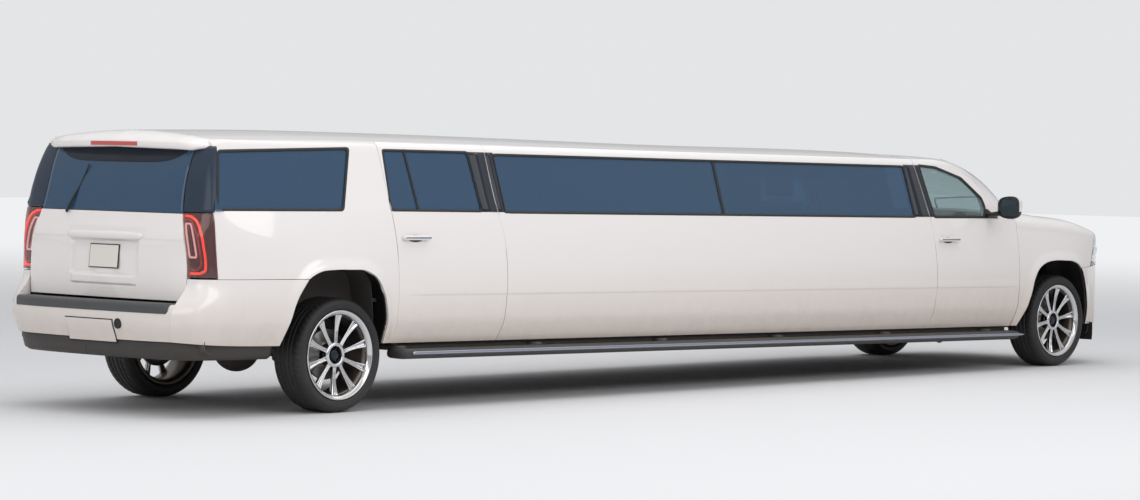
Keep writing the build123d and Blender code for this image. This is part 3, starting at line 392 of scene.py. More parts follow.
def dust_and_reflection_finish(name, colour, roughness, clean_above=0.9, amount=0.5, coat=0.0, metallic=0.0,
           bump=(220.0, 0.08, 0.0004)):
    """A finish whose colour and roughness give way low on the vehicle to a warm tint: road dust, and a
    painted reflection of the road.
    """
    made, tree, shader, place = finish_of(name)
    dust_and_reflection_mask = grouped(tree, dust_and_road_reflection, {"Clean above": clean_above, "Amount": amount}).outputs["Mask"]
    tint = node(tree, "Mix", {"Factor": dust_and_reflection_mask, "A": (*colour, 1), "B": DUST_AND_ROAD_REFLECTION}, data_type="RGBA")
    sheen = node(tree, "Mix", {"Factor": dust_and_reflection_mask, "A": roughness, "B": 0.8}, data_type="FLOAT")
    tree.links.new(tint.outputs["Result"], shader.inputs["Base Color"])
    tree.links.new(sheen.outputs["Result"], shader.inputs["Roughness"])
    shader.inputs["Metallic"].default_value = metallic
    shader.inputs["Coat Weight"].default_value = coat
    shader.inputs["Coat Roughness"].default_value = 0.03
    grain = grouped(tree, fine_bump, dict(zip(("Scale", "Strength", "Depth"), bump)))
    tree.links.new(grain.outputs["Normal"], shader.inputs["Normal"])
    return made


# Its warm tint is a painted reflection; the low film is road dust and a painted reflection of the road.
white_paint = dust_and_reflection_finish("white_paint", (0.80, 0.76, 0.74), 0.30, 0.98, 0.82, coat=1.0, bump=(60.0, 0.05, 0.0002))

# Quarter panels and stretched side
# One welded side from the tail lamps to the front doors, with the rear wheel's flared arch.
REAR_ARCH = ((-0.547, 0.455), (-0.537, 0.484), (-0.484, 0.645), (-0.435, 0.775), (-0.349, 0.891),
             (-0.243, 0.943), (-0.098, 0.958), (0.047, 0.958), (0.195, 0.948), (0.289, 0.90), (0.348, 0.82),
             (0.389, 0.713), (0.408, 0.592), (0.402, 0.457))
FRONT_ARCH = ((7.795, 0.457), (7.868, 0.587), (7.919, 0.702), (7.967, 0.848), (8.03, 0.931), (8.117, 0.976),
              (8.262, 1.0), (8.408, 1.0), (8.545, 0.991), (8.638, 0.961), (8.698, 0.903), (8.749, 0.797),
              (8.79, 0.667), (8.809, 0.55), (8.816, 0.455))
rear_arch, front_arch = curve(REAR_ARCH, 400), curve(FRONT_ARCH, 400)
SHUT = 0.0025
rear_door_rear = spline([0.455, 0.60, 0.80, 1.0, 1.2, 1.337, 1.815],
                        [0.512, 0.511, 0.511, 0.508, 0.498, 0.484, 0.455])
DOOR_Z = (0.455, 0.54, 0.65, 0.80, 1.2, 1.337, 1.815)
rear_door_front = spline(DOOR_Z, [1.535, 1.561, 1.573, 1.575, 1.562, 1.535, 1.500])
front_door_rear = spline(DOOR_Z, [6.565, 6.600, 6.616, 6.62, 6.607, 6.590, 6.505])
front_door_front = spline([0.455, 0.54, 0.65, 0.80, 1.2, 1.337], [7.725, 7.752, 7.767, 7.77, 7.768, 7.765])
SIDE_ROWS = np.concatenate([np.linspace(SILL, 0.60, 8), np.linspace(0.618, 0.765, 8),
                            np.linspace(0.773, 0.796, 7), np.linspace(0.81, BELT, 24)])


def edge_line(door_edge, shift, low, high, count):
    """Part of a door cut, moved along by a shift, as side-view points."""
    z = np.linspace(low, high, count)
    return np.stack([door_edge(z) + shift, z], -1)


LIP_OUT, LIP_REACH, SWELL_OUT = 0.015, 0.085, 0.006


def flared(points, arch):
    """Skin points pushed out round a wheel arch: a lip within reach, a faint swell to three times that."""
    gap = points[..., None, ::2] - arch[::4]
    near = np.sqrt((gap**2).sum(-1)).min(-1)
    push = LIP_OUT * (1 - smooth(near / LIP_REACH)) + SWELL_OUT * (1 - smooth(near / (3 * LIP_REACH)))
    return points + push[..., None] * (0, 1, 0)


def lower_side(rear_edge, front_edge, columns):
    """A side panel from sill to belt between two cuts, its rows level for a true crease."""
    z = SIDE_ROWS[:, None]
    across = np.linspace(0, 1, columns)[None]
    x = rear_edge(z) * (1 - across) + front_edge(z) * across
    return on_side(np.stack(np.broadcast_arrays(x, z), -1))

def window_frame(runs, glass, radius, rows, counts=None):
    """The panel round a window: rings from the runs of its outline in to the glass's rounded edge."""
    outer_loop = np.concatenate([run[:-1] for run in runs])
    inner_loop = np.concatenate(rounded_edges(glass, radius, counts or [len(run) - 1 for run in runs]))
    return on_side(between(outer_loop, inner_loop, np.linspace(0, 1, rows)))


LAMP_EDGE = ((-1.084, 0.897), (-1.099, 1.11), (-1.108, 1.30), (-1.111, BELT))
N_LAMP, N_BELT, N_DOOR, N_TOP, N_PILLAR = 16, 46, 28, 46, 18
# The arch above the bumper is shared out between the lamp's edge, the belt and the door's cut.
AT_BELT, AT_DOOR = 40, 205
arch_top = rear_arch[np.argmax(rear_arch[:, 1] > LAMP_EDGE[0][1]):]
arch_parts = np.concatenate([resample(arch_top[:AT_BELT], N_LAMP),
                             resample(arch_top[AT_BELT - 1:AT_DOOR], N_BELT)[1:],
                             resample(arch_top[AT_DOOR - 1:], N_DOOR)[1:]])
belt_run = np.linspace(LAMP_EDGE[-1], (rear_door_rear(BELT) - SHUT, BELT), N_BELT)
door_side = edge_line(rear_door_rear, -SHUT, BELT, SILL, N_DOOR)
outline = np.concatenate([curve(LAMP_EDGE, N_LAMP), belt_run[1:], door_side[1:]])
quarter_low = flared(on_side(between(arch_parts, outline, np.linspace(0, 1, 28) ** 1.35)), rear_arch)
QUARTER_GLASS = ((-1.096, 1.343), (0.036, 1.349), (0.190, 1.774), (-1.008, 1.732))
front_edge = edge_line(rear_door_rear, -SHUT, BELT, SEAM, N_PILLAR)
rear_edge = np.linspace((-1.02, SEAM), LAMP_EDGE[-1], N_PILLAR)
top_run = np.linspace(front_edge[-1], rear_edge[0], N_TOP)
quarter_high = window_frame((belt_run, front_edge, top_run, rear_edge), QUARTER_GLASS, 0.03, 11)
surface("quarter_skin", [quarter_low, mirror_y(quarter_low), (quarter_high, True),
                         (mirror_y(quarter_high), True)], white_paint, "root", wall=0.022,
        edge=0.0018, replaces=("quarter_panels",))

N_LONG, N_SHORT = 64, 14
stretch_low = lower_side(lambda z: rear_door_front(z) + SHUT, lambda z: front_door_rear(z) - SHUT, N_LONG)
LONG_GLASS = ((1.600, 1.346), (6.396, 1.346), (6.374, 1.760), (1.577, 1.760))
low_run = np.linspace((rear_door_front(BELT) + SHUT, BELT), (front_door_rear(BELT) - SHUT, BELT), N_LONG)
front_edge = edge_line(front_door_rear, -SHUT, BELT, SEAM, N_SHORT)
rear_edge = edge_line(rear_door_front, SHUT, SEAM, BELT, N_SHORT)
top_run = np.linspace(front_edge[-1], rear_edge[0], N_LONG)
stretch_high = window_frame((low_run, front_edge, top_run, rear_edge), LONG_GLASS, 0.012, 8)
surface("stretch_skin", [stretch_low, mirror_y(stretch_low), (stretch_high, True),
                         (mirror_y(stretch_high), True)], white_paint, "root", wall=0.004,
        edge=0.001)

# Side doors
# Pressed door skins, hemmed round, with a lacquered window frame above the belt.
REAR_DOOR_GLASS = ((0.478, 1.352), (1.380, 1.352), (1.335, 1.771), (0.497, 1.769))
FRONT_DOOR_GLASS = ((6.650, 1.352), (7.345, 1.356), (7.376, 1.440), (7.352, 1.512), (7.125, 1.672),
                    (6.800, 1.754), (6.578, 1.766))
DOOR_BROW = ((7.765, BELT), (7.60, 1.362), (7.49, 1.45), (7.40, 1.545), (7.215, 1.690), (6.98, 1.775),
             (6.74, SEAM))
DOOR_TOP = SEAM + 0.004
N_DOOR_LOW, N_DOOR_UP = 44, 22
SIDES = (("left", 1), ("right", -1))


def door_low(rear_edge, front_edge):
    """The lower door skin."""
    return lower_side(lambda z: rear_edge(z) + SHUT, lambda z: front_edge(z) - SHUT, N_DOOR_LOW)


rear_low = door_low(rear_door_rear, rear_door_front)
front_edge = edge_line(rear_door_front, -SHUT, BELT, DOOR_TOP, N_DOOR_UP)
rear_edge = edge_line(rear_door_rear, SHUT, DOOR_TOP, BELT, N_DOOR_UP)
top_run = np.linspace(front_edge[-1], rear_edge[0], N_DOOR_LOW)
rear_high = window_frame((rear_low[-1][:, ::2], front_edge, top_run, rear_edge), REAR_DOOR_GLASS, 0.02, 8)

front_low = door_low(front_door_rear, front_door_front)
brow = curve(DOOR_BROW, 60) - (SHUT, 0)
roof_edge = np.linspace(brow[-1], (front_door_rear(SEAM) + SHUT, DOOR_TOP), 12)
rear_edge = edge_line(front_door_rear, SHUT, DOOR_TOP, BELT, N_DOOR_UP)
front_high = window_frame((front_low[-1][:, ::2], brow, roof_edge, rear_edge), FRONT_DOOR_GLASS, 0.02, 9,
                          (N_DOOR_LOW - 1, 8, 8, 20, 23, 11, N_DOOR_UP - 1))

for side, flip in SIDES:
    turn = (1, flip, 1)
    for end, low, high in (("rear", rear_low, rear_high), ("front", front_low, front_high)):
        surface(f"{end}_door_skin_{side}", [low * turn, (high * turn, True)], white_paint,
                f"{end}_door_{side}", wall=0.004, edge=0.001)

# Roof
# A single long pressing over the cabin, its edges turned down to the door tops.
roof_centre = spline([-0.94, 0, 1.0, 4.0, 7.0, 7.13], [1.860, 1.8805, 1.885, 1.870, 1.8545, 1.850])
ROOF_HALF = ((0.796, -0.108), (0.806, -0.096), (0.8115, -0.088), (0.812, -0.0815), (0.800, -0.0745),
             (0.76, -0.063), (0.70, -0.0535), (0.62, -0.0405), (0.39, -0.0175), (0.20, -0.005), (0.0, 0.0))
section = curve(ROOF_HALF, 26)
stations = np.linspace(-0.937, 6.72, 90)[:, None]
roof_half = np.stack(np.broadcast_arrays(stations, section[:, 0], roof_centre(stations) + section[:, 1]), -1)
surface("roof_skin", [roof_half, mirror_y(roof_half)], white_paint, "root", wall=0.004,
        edge=0.001, axis_at=(3, 0, 0))

# Finishes
# Clear lacquered black, satin and grained plastics, chromed trim, dark privacy glass and worn iron.


def plain(name, colour, roughness, metallic=0.0, coat=0.0, transmission=0.0, ior=1.45, glow=None):
    """A finish of one colour."""
    made, tree, shader, place = finish_of(name)
    for socket, value in (("Base Color", (*colour, 1)), ("Roughness", roughness), ("Metallic", metallic),
                          ("Coat Weight", coat), ("Transmission Weight", transmission), ("IOR", ior)):
        shader.inputs[socket].default_value = value
    if glow:
        shader.inputs["Emission Color"].default_value = (*glow[:3], 1)
        shader.inputs["Emission Strength"].default_value = glow[3]
    return made


gloss_black = plain("gloss_black", (0.010, 0.015, 0.024), 0.11, ior=1.36)
pillar_glass = plain("pillar_glass", (0.018, 0.032, 0.055), 0.26, ior=1.4)
rubber = plain("rubber_seal", (0.016, 0.016, 0.017), 0.55)
black_plastic = dust_and_reflection_finish("black_plastic", (0.014, 0.014, 0.015), 0.5, 0.75, 0.08, bump=(700.0, 0.25, 0.0004))
grey_plastic = dust_and_reflection_finish("grey_plastic", (0.060, 0.062, 0.065), 0.45, 0.75, 0.08, bump=(700.0, 0.25, 0.0004))
bright = dust_and_reflection_finish("bright_trim", (0.86, 0.87, 0.88), 0.09, 0.5, 0.18, metallic=1.0, bump=(60.0, 0.02, 0.0001))
privacy_glass = plain("privacy_glass", (0.062, 0.150, 0.27), 0.02, transmission=0.58)
clear_glass = plain("clear_glass", (0.70, 0.86, 0.88), 0.02, transmission=0.93)
under_black = dust_and_reflection_finish("under_black", (0.018, 0.017, 0.017), 0.6, 1.1, 0.14, bump=(90.0, 0.35, 0.002))
worn_iron = dust_and_reflection_finish("worn_iron", (0.085, 0.08, 0.075), 0.55, 1.2, 0.3, metallic=0.6, bump=(120.0, 0.3, 0.001))
carpet = dust_and_reflection_finish("cabin_carpet", (0.028, 0.028, 0.031), 0.95, 0.2, 0.1, bump=(900.0, 0.8, 0.002))
leather = dust_and_reflection_finish("cabin_leather", (0.045, 0.04, 0.037), 0.42, 0.2, 0.05, coat=0.1, bump=(420.0, 0.5, 0.0006))
wood = plain("cabin_wood", (0.11, 0.05, 0.022), 0.22, coat=0.8)

# White steel shells whose inner faces are trimmed dark: white within 35 mm of the skin, by place.
TRIM_DEPTH, ROOF_TOP = 0.035, 1.828
shell_white, tree, shader, place = finish_of("shell_white")
axes = node(tree, "SeparateXYZ", {"Vector": place}).outputs


def maths(operation, *values):
    """The result of one Math node in the shell's tree."""
    return node(tree, "Math", dict(enumerate(values)), operation=operation).outputs[0]


tilt = maths("MULTIPLY", axes["X"], sin(RAKE))
level_z = maths("ADD", maths("ADD", axes["Z"], tilt), MIDDLE * sin(RAKE))
sill_half, door_half, glass_half = (maths("MULTIPLY_ADD", level_z, slope, reach) for slope, reach in
                                    ((0.183, 0.879), (-0.1118, 1.1104), (-0.294, 1.3554)))
half = maths("MINIMUM", maths("MINIMUM", sill_half, door_half), glass_half)
by_side = maths("LESS_THAN", maths("SUBTRACT", half, maths("ABSOLUTE", axes["Y"])), TRIM_DEPTH)
crown = maths("MULTIPLY_ADD", maths("MULTIPLY", axes["Y"], axes["Y"]), 0.105, level_z)
painted = maths("MAXIMUM", by_side, maths("GREATER_THAN", crown, ROOF_TOP))
coat_tint = node(tree, "Mix", {"Factor": painted, "A": (0.05, 0.048, 0.046, 1), "B": (0.80, 0.775, 0.76, 1)},
                 data_type="RGBA")
coat_sheen = node(tree, "Mix", {"Factor": painted, "A": 0.7, "B": 0.3}, data_type="FLOAT")
tree.links.new(coat_tint.outputs["Result"], shader.inputs["Base Color"])
tree.links.new(coat_sheen.outputs["Result"], shader.inputs["Roughness"])


def refinish(material, *names):
    """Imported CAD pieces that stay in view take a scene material."""
    for name in names:
        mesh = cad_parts[name].data
        for i in range(len(mesh.materials)):
            mesh.materials[i] = material



WHEELS = [(end, side) for end in ("front", "rear") for side in ("left", "right")]
refinish(shell_white, "stretch_panels", "roof_panel", *(f"{end}_door_{side}" for end, side in WHEELS))
refinish(privacy_glass, "side_glass", "rear_door_glass_left", "rear_door_glass_right")
refinish(clear_glass, "windscreen", "front_door_glass_left", "front_door_glass_right")
refinish(under_black, "chassis_frame", "fuel_tank", "rear_axle", "front_suspension", "radiator")
refinish(worn_iron, "exhaust", "propshaft", "knuckle_left", "knuckle_right", "engine")
refinish(carpet, "floor_pan", "cargo_floor")
refinish(black_plastic, "dashboard", "steering_wheel")
refinish(wood, "cabin_furniture")

# Pillars, seals and dividers
# Gloss black covers are bonded over the door pillars, and black rubber runs round every pane.


def offset_corners(corners, amount):
    """A convex outline's corners moved out along their mitres, so that each side shifts by amount."""
    corners = np.asarray(corners, float)
    ahead = np.roll(corners, -1, 0) - corners
    turn = (corners[:, 0] * np.roll(corners[:, 1], -1) - np.roll(corners[:, 0], -1) * corners[:, 1]).sum()
    out = np.stack([ahead[:, 1], -ahead[:, 0]], -1) * np.sign(turn)
    out /= np.linalg.norm(out, axis=1, keepdims=True)
    before = np.roll(out, 1, 0)
    return corners + amount * (out + before) / (1 + (out * before).sum(-1, keepdims=True))


def band(corners, out_by, in_by, radius, counts, extra):
    """A closed ring on the skin along an outline, from out_by outside it to in_by inside."""
    loops = [np.concatenate(rounded_edges(offset_corners(corners, shift), radius, counts))
             for shift in (out_by, 0.5 * (out_by - in_by), -in_by)]
    return on_side(np.stack(loops), extra)


GATE_SIDE = spline([0.74, 0.905, 0.99, 1.14, 1.32, 1.82], [0.780, 0.797, 0.794, 0.768, 0.716, 0.690])


def corner_point(turn, z, x_side, deep=0.0):
    """A point of the rear corner: turn 0 at the gate's edge, 1 on the side at x_side; deep goes inwards."""
    turn, z, x_side = np.broadcast_arrays(*(np.asarray(value, float) for value in (turn, z, x_side)))
    y_in = GATE_SIDE(z) + 0.005
    angle = turn * pi / 2
    near, far = np.zeros_like(angle), np.full_like(angle, 0.5)
    for _ in range(24):
        middle = (near + far) / 2
        x, y = x_side - middle * np.cos(angle), y_in + middle * np.sin(angle)
        inside = (skin(x, z) > y) & (x > rear_line(z))
        near, far = np.where(inside, middle, near), np.where(inside, far, middle)
    reach = near - deep
    return np.stack([x_side - reach * np.cos(angle), y_in + reach * np.sin(angle), z], -1)


COVER = 0.0012
COVER_CUT = SHUT + 0.001
COVER_LOW, COVER_HIGH = 1.352, 1.768


def straight(low, high):
    """A straight side-view line of twenty points."""
    return np.linspace(low, high, 20)


def cut_line(door_edge, shift):
    """A door's cut over the height of the pillar covers, moved along by a shift."""
    return edge_line(door_edge, shift, COVER_LOW, COVER_HIGH, 20)


DIVIDER = [(straight((3.991, 1.346), (3.977, 1.760)), straight((4.017, 1.346), (4.003, 1.760)))]
VENT = [(straight((0.740, 1.355), (0.700, 1.774)), straight((0.757, 1.355), (0.717, 1.774)))]
REAR_DOOR_COVER = [(straight((1.372, COVER_LOW), (1.329, COVER_HIGH)), cut_line(rear_door_front, -COVER_CUT))]
BODY_COVERS = [(cut_line(rear_door_front, COVER_CUT), straight((1.608, COVER_LOW), (1.586, COVER_HIGH))),
               (straight((6.388, COVER_LOW), (6.368, COVER_HIGH)), cut_line(front_door_rear, -COVER_CUT))]
FRONT_DOOR_COVER = [(cut_line(front_door_rear, COVER_CUT), straight((6.655, COVER_LOW), (6.585, COVER_HIGH)))]
for side, flip in SIDES:
    turn = (1, flip, 1)
    rear_door, front_door = f"rear_door_{side}", f"front_door_{side}"
    for name, body, glass, out_by, in_by, radius, counts in (
        ("rear_window_seals", "root", QUARTER_GLASS, 0.004, 0.014, 0.03, (60, 22, 60, 22)),
        ("long_window_seals", "root", LONG_GLASS, 0.003, 0.013, 0.012, (90, 16, 90, 16)),
        ("rear_door_seal", rear_door, REAR_DOOR_GLASS, 0.003, 0.013, 0.02, (44, 22, 44, 22)),
        ("front_door_seal", front_door, FRONT_DOOR_GLASS, 0.010, 0.012, 0.02, (44, 8, 8, 20, 24, 12, 22)),
    ):
        seal = band(glass, out_by, in_by, radius, counts, COVER) * turn
        surface(f"{name}_{side}", [(seal, True)], rubber, body, wall=0.004)
    for name, body, pairs, material, extra, wall in (
        ("long_divider", "root", DIVIDER, rubber, 0.0005, 0.006),
        ("vent_divider", rear_door, VENT, rubber, 0.0008, 0.007),
        ("rear_door_cover", rear_door, REAR_DOOR_COVER, gloss_black, COVER, 0.003),
        ("pillar_covers", "root", BODY_COVERS, gloss_black, COVER, 0.003),
        ("front_door_cover", front_door, FRONT_DOOR_COVER, gloss_black, COVER, 0.003),
    ):
        patches = [on_side(np.stack(pair), extra) * turn for pair in pairs]
        surface(f"{name}_{side}", patches, material, body, wall=wall)
    rise, sweep = np.meshgrid(np.linspace(1.328, 1.757, 24), np.linspace(0, 1, 24), indexing="ij")
    corner = corner_point(sweep, rise, np.interp(rise, (1.335, 1.737), (-1.104, -1.008)), -COVER)
    surface(f"rear_pillar_cover_{side}", [corner * turn], pillar_glass, "root", wall=0.003)

# Liftgate
# A pressed gate with a plate recess under a garnish bar, and privacy glass bonded over a gloss black frame.
GATE_LOW, GLASS_LOW, GLASS_TOP = 0.749, 1.314, 1.745
RECESS = (0.335, 0.905, 1.128)
PULL = (0.315, 0.838, 0.892)


def box_mask(y, z, half, low, high, soft):
    """1 within a rectangle about the centre line, easing to 0 over soft."""
    inside = np.minimum(half - np.abs(y), np.minimum(z - low, high - z))
    return smooth(0.5 + inside / soft)


def gate_x(y, z):
    """Station of the gate's skin: rear face with its crease, plate recess and pull shelf."""
    x = end_face(y, z, -1) - PROUD
    x = x + 0.024 * box_mask(y, z, *RECESS, 0.022)
    x = x - 0.008 * box_mask(y, z, *PULL, 0.014) + 0.006 * box_mask(y, z, 0.33, 0.826, 0.838, 0.010)
    outer = 1 - box_mask(y, z, 0.39, 1.10, 1.21, 0.03)
    return x - 0.004 * outer * smooth((z - 1.137) / 0.008) * (1 - smooth((z - 1.16) / 0.12))


def gate_grid(z_rows, columns, inset=0.0):
    """A grid over the gate between its side edges."""
    z = z_rows[:, None]
    y = (GATE_SIDE(z) - 0.003 - inset) * np.linspace(1, -1, columns)[None]
    y, z = np.broadcast_arrays(y, z)
    return y, z


y, z = gate_grid(np.linspace(GATE_LOW, GLASS_LOW, 104), 161)
gate_skin = np.stack([gate_x(y, z), y, z], -1)
surface("gate_skin", [gate_skin], white_paint, "liftgate", wall=0.035, edge=0.002,
        axis_at=(0, 0, 1), replaces=("liftgate",))
y, z = gate_grid(np.linspace(GLASS_LOW + 0.004, GLASS_TOP, 40), 61)
gate_glass = np.stack([end_face(y, z, -1) - PROUD, y, z], -1)
surface("gate_glass", [gate_glass], privacy_glass, "liftgate", wall=0.0045,
        axis_at=(0, 0, 1.5), replaces=("liftgate_glass",))


def gate_ring(out_low, out_high, inset_out, inset_in, low_in, high_in, depth, count=48):
    """A closed frame on the gate: its outer loop by the gate's edge, its inner loop round the pane."""
    low_z, high_z = np.full(count, out_low), np.full(count, out_high)
    rise, share = np.linspace(out_low, out_high, count), np.linspace(1, -1, count)
    edge = GATE_SIDE(rise) - inset_out
    outer = np.concatenate([np.stack([(GATE_SIDE(out_low) - inset_out) * share, low_z], -1)[:-1],
                            np.stack([-edge, rise], -1)[:-1],
                            np.stack([-(GATE_SIDE(out_high) - inset_out) * share, high_z], -1)[:-1],
                            np.stack([edge, rise], -1)[::-1][:-1]])
    inner_corners = ((GATE_SIDE(low_in) - inset_in, low_in), (-GATE_SIDE(low_in) + inset_in, low_in),
                     (-GATE_SIDE(high_in) + inset_in, high_in), (GATE_SIDE(high_in) - inset_in, high_in))
    inner = np.concatenate(rounded_edges(inner_corners, 0.05, (count - 1,) * 4))
    loops = between(outer, inner, (0, 0.5, 1))
    return np.stack([end_face(loops[..., 0], loops[..., 1], -1) + depth, loops[..., 0], loops[..., 1]], -1)


gate_frame = gate_ring(1.30, 1.80, 0.006, 0.045, 1.335, 1.705, 0.006)
surface("gate_glass_frame", [(gate_frame, True)], gloss_black, "liftgate", wall=0.03,
        axis_at=(0, 0, 1.5))
y, z = gate_grid(np.linspace(GATE_LOW + 0.01, 1.31, 12), 24, 0.008)
gate_trim = np.stack([end_face(y, z, -1) + 0.075, y, z], -1)
surface("gate_inner_trim", [gate_trim], black_plastic, "liftgate", wall=0.036, edge=0.004,
        axis_at=(-3, 0, 1))

# Garnish bar over the plate: a thick rounded bar, painted like the gate and tapered to its ends.
GARNISH_HALF, GARNISH_Z = 0.385, 1.158
along = np.linspace(-1, 1, 70)[:, None]
ring_turn = np.linspace(0, 2 * pi, 20, endpoint=False)
swell = np.sqrt(np.clip(1 - along**10, 0, 1))
bar_z = GARNISH_Z + 0.029 * swell * np.sin(ring_turn)
bar_face = end_face(GARNISH_HALF * along, np.full_like(bar_z, GARNISH_Z), -1)
bar_x = bar_face - 0.006 - 0.019 * swell * np.cos(ring_turn)
garnish = np.stack(np.broadcast_arrays(bar_x, GARNISH_HALF * along, bar_z), -1)
surface("gate_garnish", [(garnish, True)], white_paint, "liftgate",
        axis_at=(-1.24, 0, GARNISH_Z))


def slab(y_edges, z_edges, x_at, slope):
    """A flat plate on the rear face between two widths and two heights; slope is its lean per metre up."""
    y, z = np.meshgrid(np.linspace(*y_edges, 9), np.linspace(*z_edges, 7))
    return np.stack([np.full_like(y, x_at) + slope * (z - z_edges[0]), y, z], -1)


plate_x = float(end_face(0.1, 1.02, -1)) + 0.012
number_plate = slab((0.142, -0.142), (0.946, 1.092), plate_x - 0.004, 0.08)
surface("blank_plate", [number_plate], plain("plate_white", (0.74, 0.71, 0.66), 0.4), "liftgate",
        wall=0.002, edge=0.0008, axis_at=(0, 0, 1))
plate_frame = slab((0.149, -0.149), (0.939, 1.099), plate_x - 0.002, 0.08)
surface("plate_frame", [plate_frame], black_plastic, "liftgate", wall=0.004, edge=0.001,
        axis_at=(0, 0, 1))
notch = slab((0.065, -0.055), (0.852, 0.870), float(end_face(0.1, 0.86, -1)) - 0.0115, 0.0)
surface("pull_notch", [notch], rubber, "liftgate", wall=0.003, axis_at=(0, 0, 1))


def capped(rings, points):
    """A bar's rings with its first and its last point added as rings of no size."""
    first, last = (np.repeat(end[None, None], rings.shape[1], 1) for end in (points[0], points[-1]))
    return np.concatenate([first, rings, last])


def tube(points, radius, sides=10, ends=True):
    """A round bar along points; its first and last rings close to a point."""
    points = np.asarray(points, float)
    ahead = np.gradient(points, axis=0)
    ahead /= np.linalg.norm(ahead, axis=1, keepdims=True)
    up = np.array([0.13, 0.21, 0.97])
    first = np.cross(ahead, up)
    first /= np.linalg.norm(first, axis=1, keepdims=True)
    second = np.cross(ahead, first)
    turn = np.linspace(0, 2 * pi, sides, endpoint=False)[None, :, None]
    radius = np.broadcast_to(np.asarray(radius, float), len(points))[:, None, None]
    rings = points[:, None] + radius * (first[:, None] * np.cos(turn) + second[:, None] * np.sin(turn))
    return capped(rings, points) if ends else rings


wiper_path = curve([(float(end_face(0.42, 1.305, -1)) - 0.02, 0.42, 1.300), (-1.19, 0.39, 1.37),
                    (-1.15, 0.34, 1.49), (float(end_face(0.28, 1.62, -1)) - 0.016, 0.28, 1.62)], 30)
surface("rear_wiper", [(tube(wiper_path, np.linspace(0.010, 0.004, 30)), True)], rubber, "liftgate",
        axis_at=(0, 0.35, 1.45))

# Spoiler
# A moulded lip over the rear glass, its ends tapering into the roof, with the high brake lamp.
lip_y = 0.812 * np.linspace(-1, 1, 81)
away = np.abs(lip_y)
LIP_Y = (0, 0.35, 0.60, 0.69, 0.745, 0.79, 0.812)
LIP_X = (-1.168, -1.155, -1.130, -1.108, -1.082, -1.045, -1.005)
lip_x = np.interp(away, LIP_Y, LIP_X)
roof_drop = np.interp(away, [row[0] for row in ROOF_HALF[::-1]], [row[1] for row in ROOF_HALF[::-1]])
seam_z = 1.8600 + roof_drop
LEVELS_Y = (0, 0.6, 0.70, 0.76, 0.812)
lip_top = np.interp(away, LEVELS_Y, (1.800, 1.788, 1.780, 1.772, 1.772))
lip_low = np.interp(away, LEVELS_Y, (1.742, 1.730, 1.726, 1.738, 1.745))
glass_x = end_face(np.minimum(away, 0.68), np.full_like(away, 1.745), -1) + 0.004
seam_x = np.full_like(away, -0.9435)
profile = np.stack([np.stack([x_row, lip_y, z_row], -1) for x_row, z_row in (
    (seam_x, seam_z),
    (seam_x * 0.7 + lip_x * 0.3, seam_z * 0.7 + lip_top * 0.3 + 0.014),
    (seam_x * 0.3 + lip_x * 0.7, seam_z * 0.3 + lip_top * 0.7 + 0.010),
    (lip_x + 0.022, lip_top + 0.002),
    (lip_x + 0.004, lip_top - 0.008),
    (lip_x - 0.001, lip_top * 0.5 + lip_low * 0.5),
    (lip_x + 0.006, lip_low + 0.004),
    (lip_x + 0.020, lip_low),
    (np.maximum(glass_x, lip_x + 0.03), lip_low + 0.006),
)])
lip = np.stack([curve(profile[:, k], 40) for k in range(profile.shape[1])])
skirts = [np.stack([end[:, 0], end[:, 1], np.minimum(end[:, 2], 1.746)], -1) for end in (lip[0], lip[-1])]
lip = np.concatenate([skirts[0][None], lip, skirts[1][None]])
surface("spoiler", [lip], white_paint, "liftgate", wall=0.004, edge=0.001,
        axis_at=(-1.0, 0, 1.79))
shade_y = np.linspace(-0.655, 0.655, 70)[None]
shade_low = 1.741 - 0.098 * (1 - (shade_y / 0.66) ** 6)
shade_z = 1.743 + (shade_low - 1.743) * np.linspace(0, 1, 14)[:, None]
shade_y = np.broadcast_to(shade_y, shade_z.shape)
glass_shade = np.stack([end_face(shade_y, shade_z, -1) - PROUD - 0.0012, shade_y, shade_z], -1)
surface("glass_shade", [glass_shade], gloss_black, "liftgate", wall=0.001,
        axis_at=(0, 0, 1.7))
lamp_run = np.linspace(-0.235, 0.235, 40)
lamp_x = np.interp(np.abs(lamp_run), LIP_Y, LIP_X) - 0.0035
lamp_face = np.stack([np.stack([lamp_x, lamp_run, np.full(40, level)], -1)
                      for level in (1.750, 1.764, 1.778)])
brake_red = plain("brake_red", (0.42, 0.075, 0.065), 0.12, coat=1.0, glow=(1.0, 0.10, 0.06, 0.10))
surface("high_brake_lamp", [lamp_face], brake_red, "liftgate", wall=0.006, edge=0.002,
        axis_at=(-1.0, 0, 1.76))

# Tail lamps
# Smoked red lenses round the corner, a glowing red guide in a C, a pale ring and a dark bezel.
LAMP_LOW, LAMP_HIGH = 0.905, 1.322
lamp_side_x = spline(*np.transpose(LAMP_EDGE)[::-1])


def lamp_point(turn, z, deep=0.0):
    """A point of the lamp's surface, or deep inside it."""
    return corner_point(turn, z, lamp_side_x(z) - 0.004, deep - 0.003)


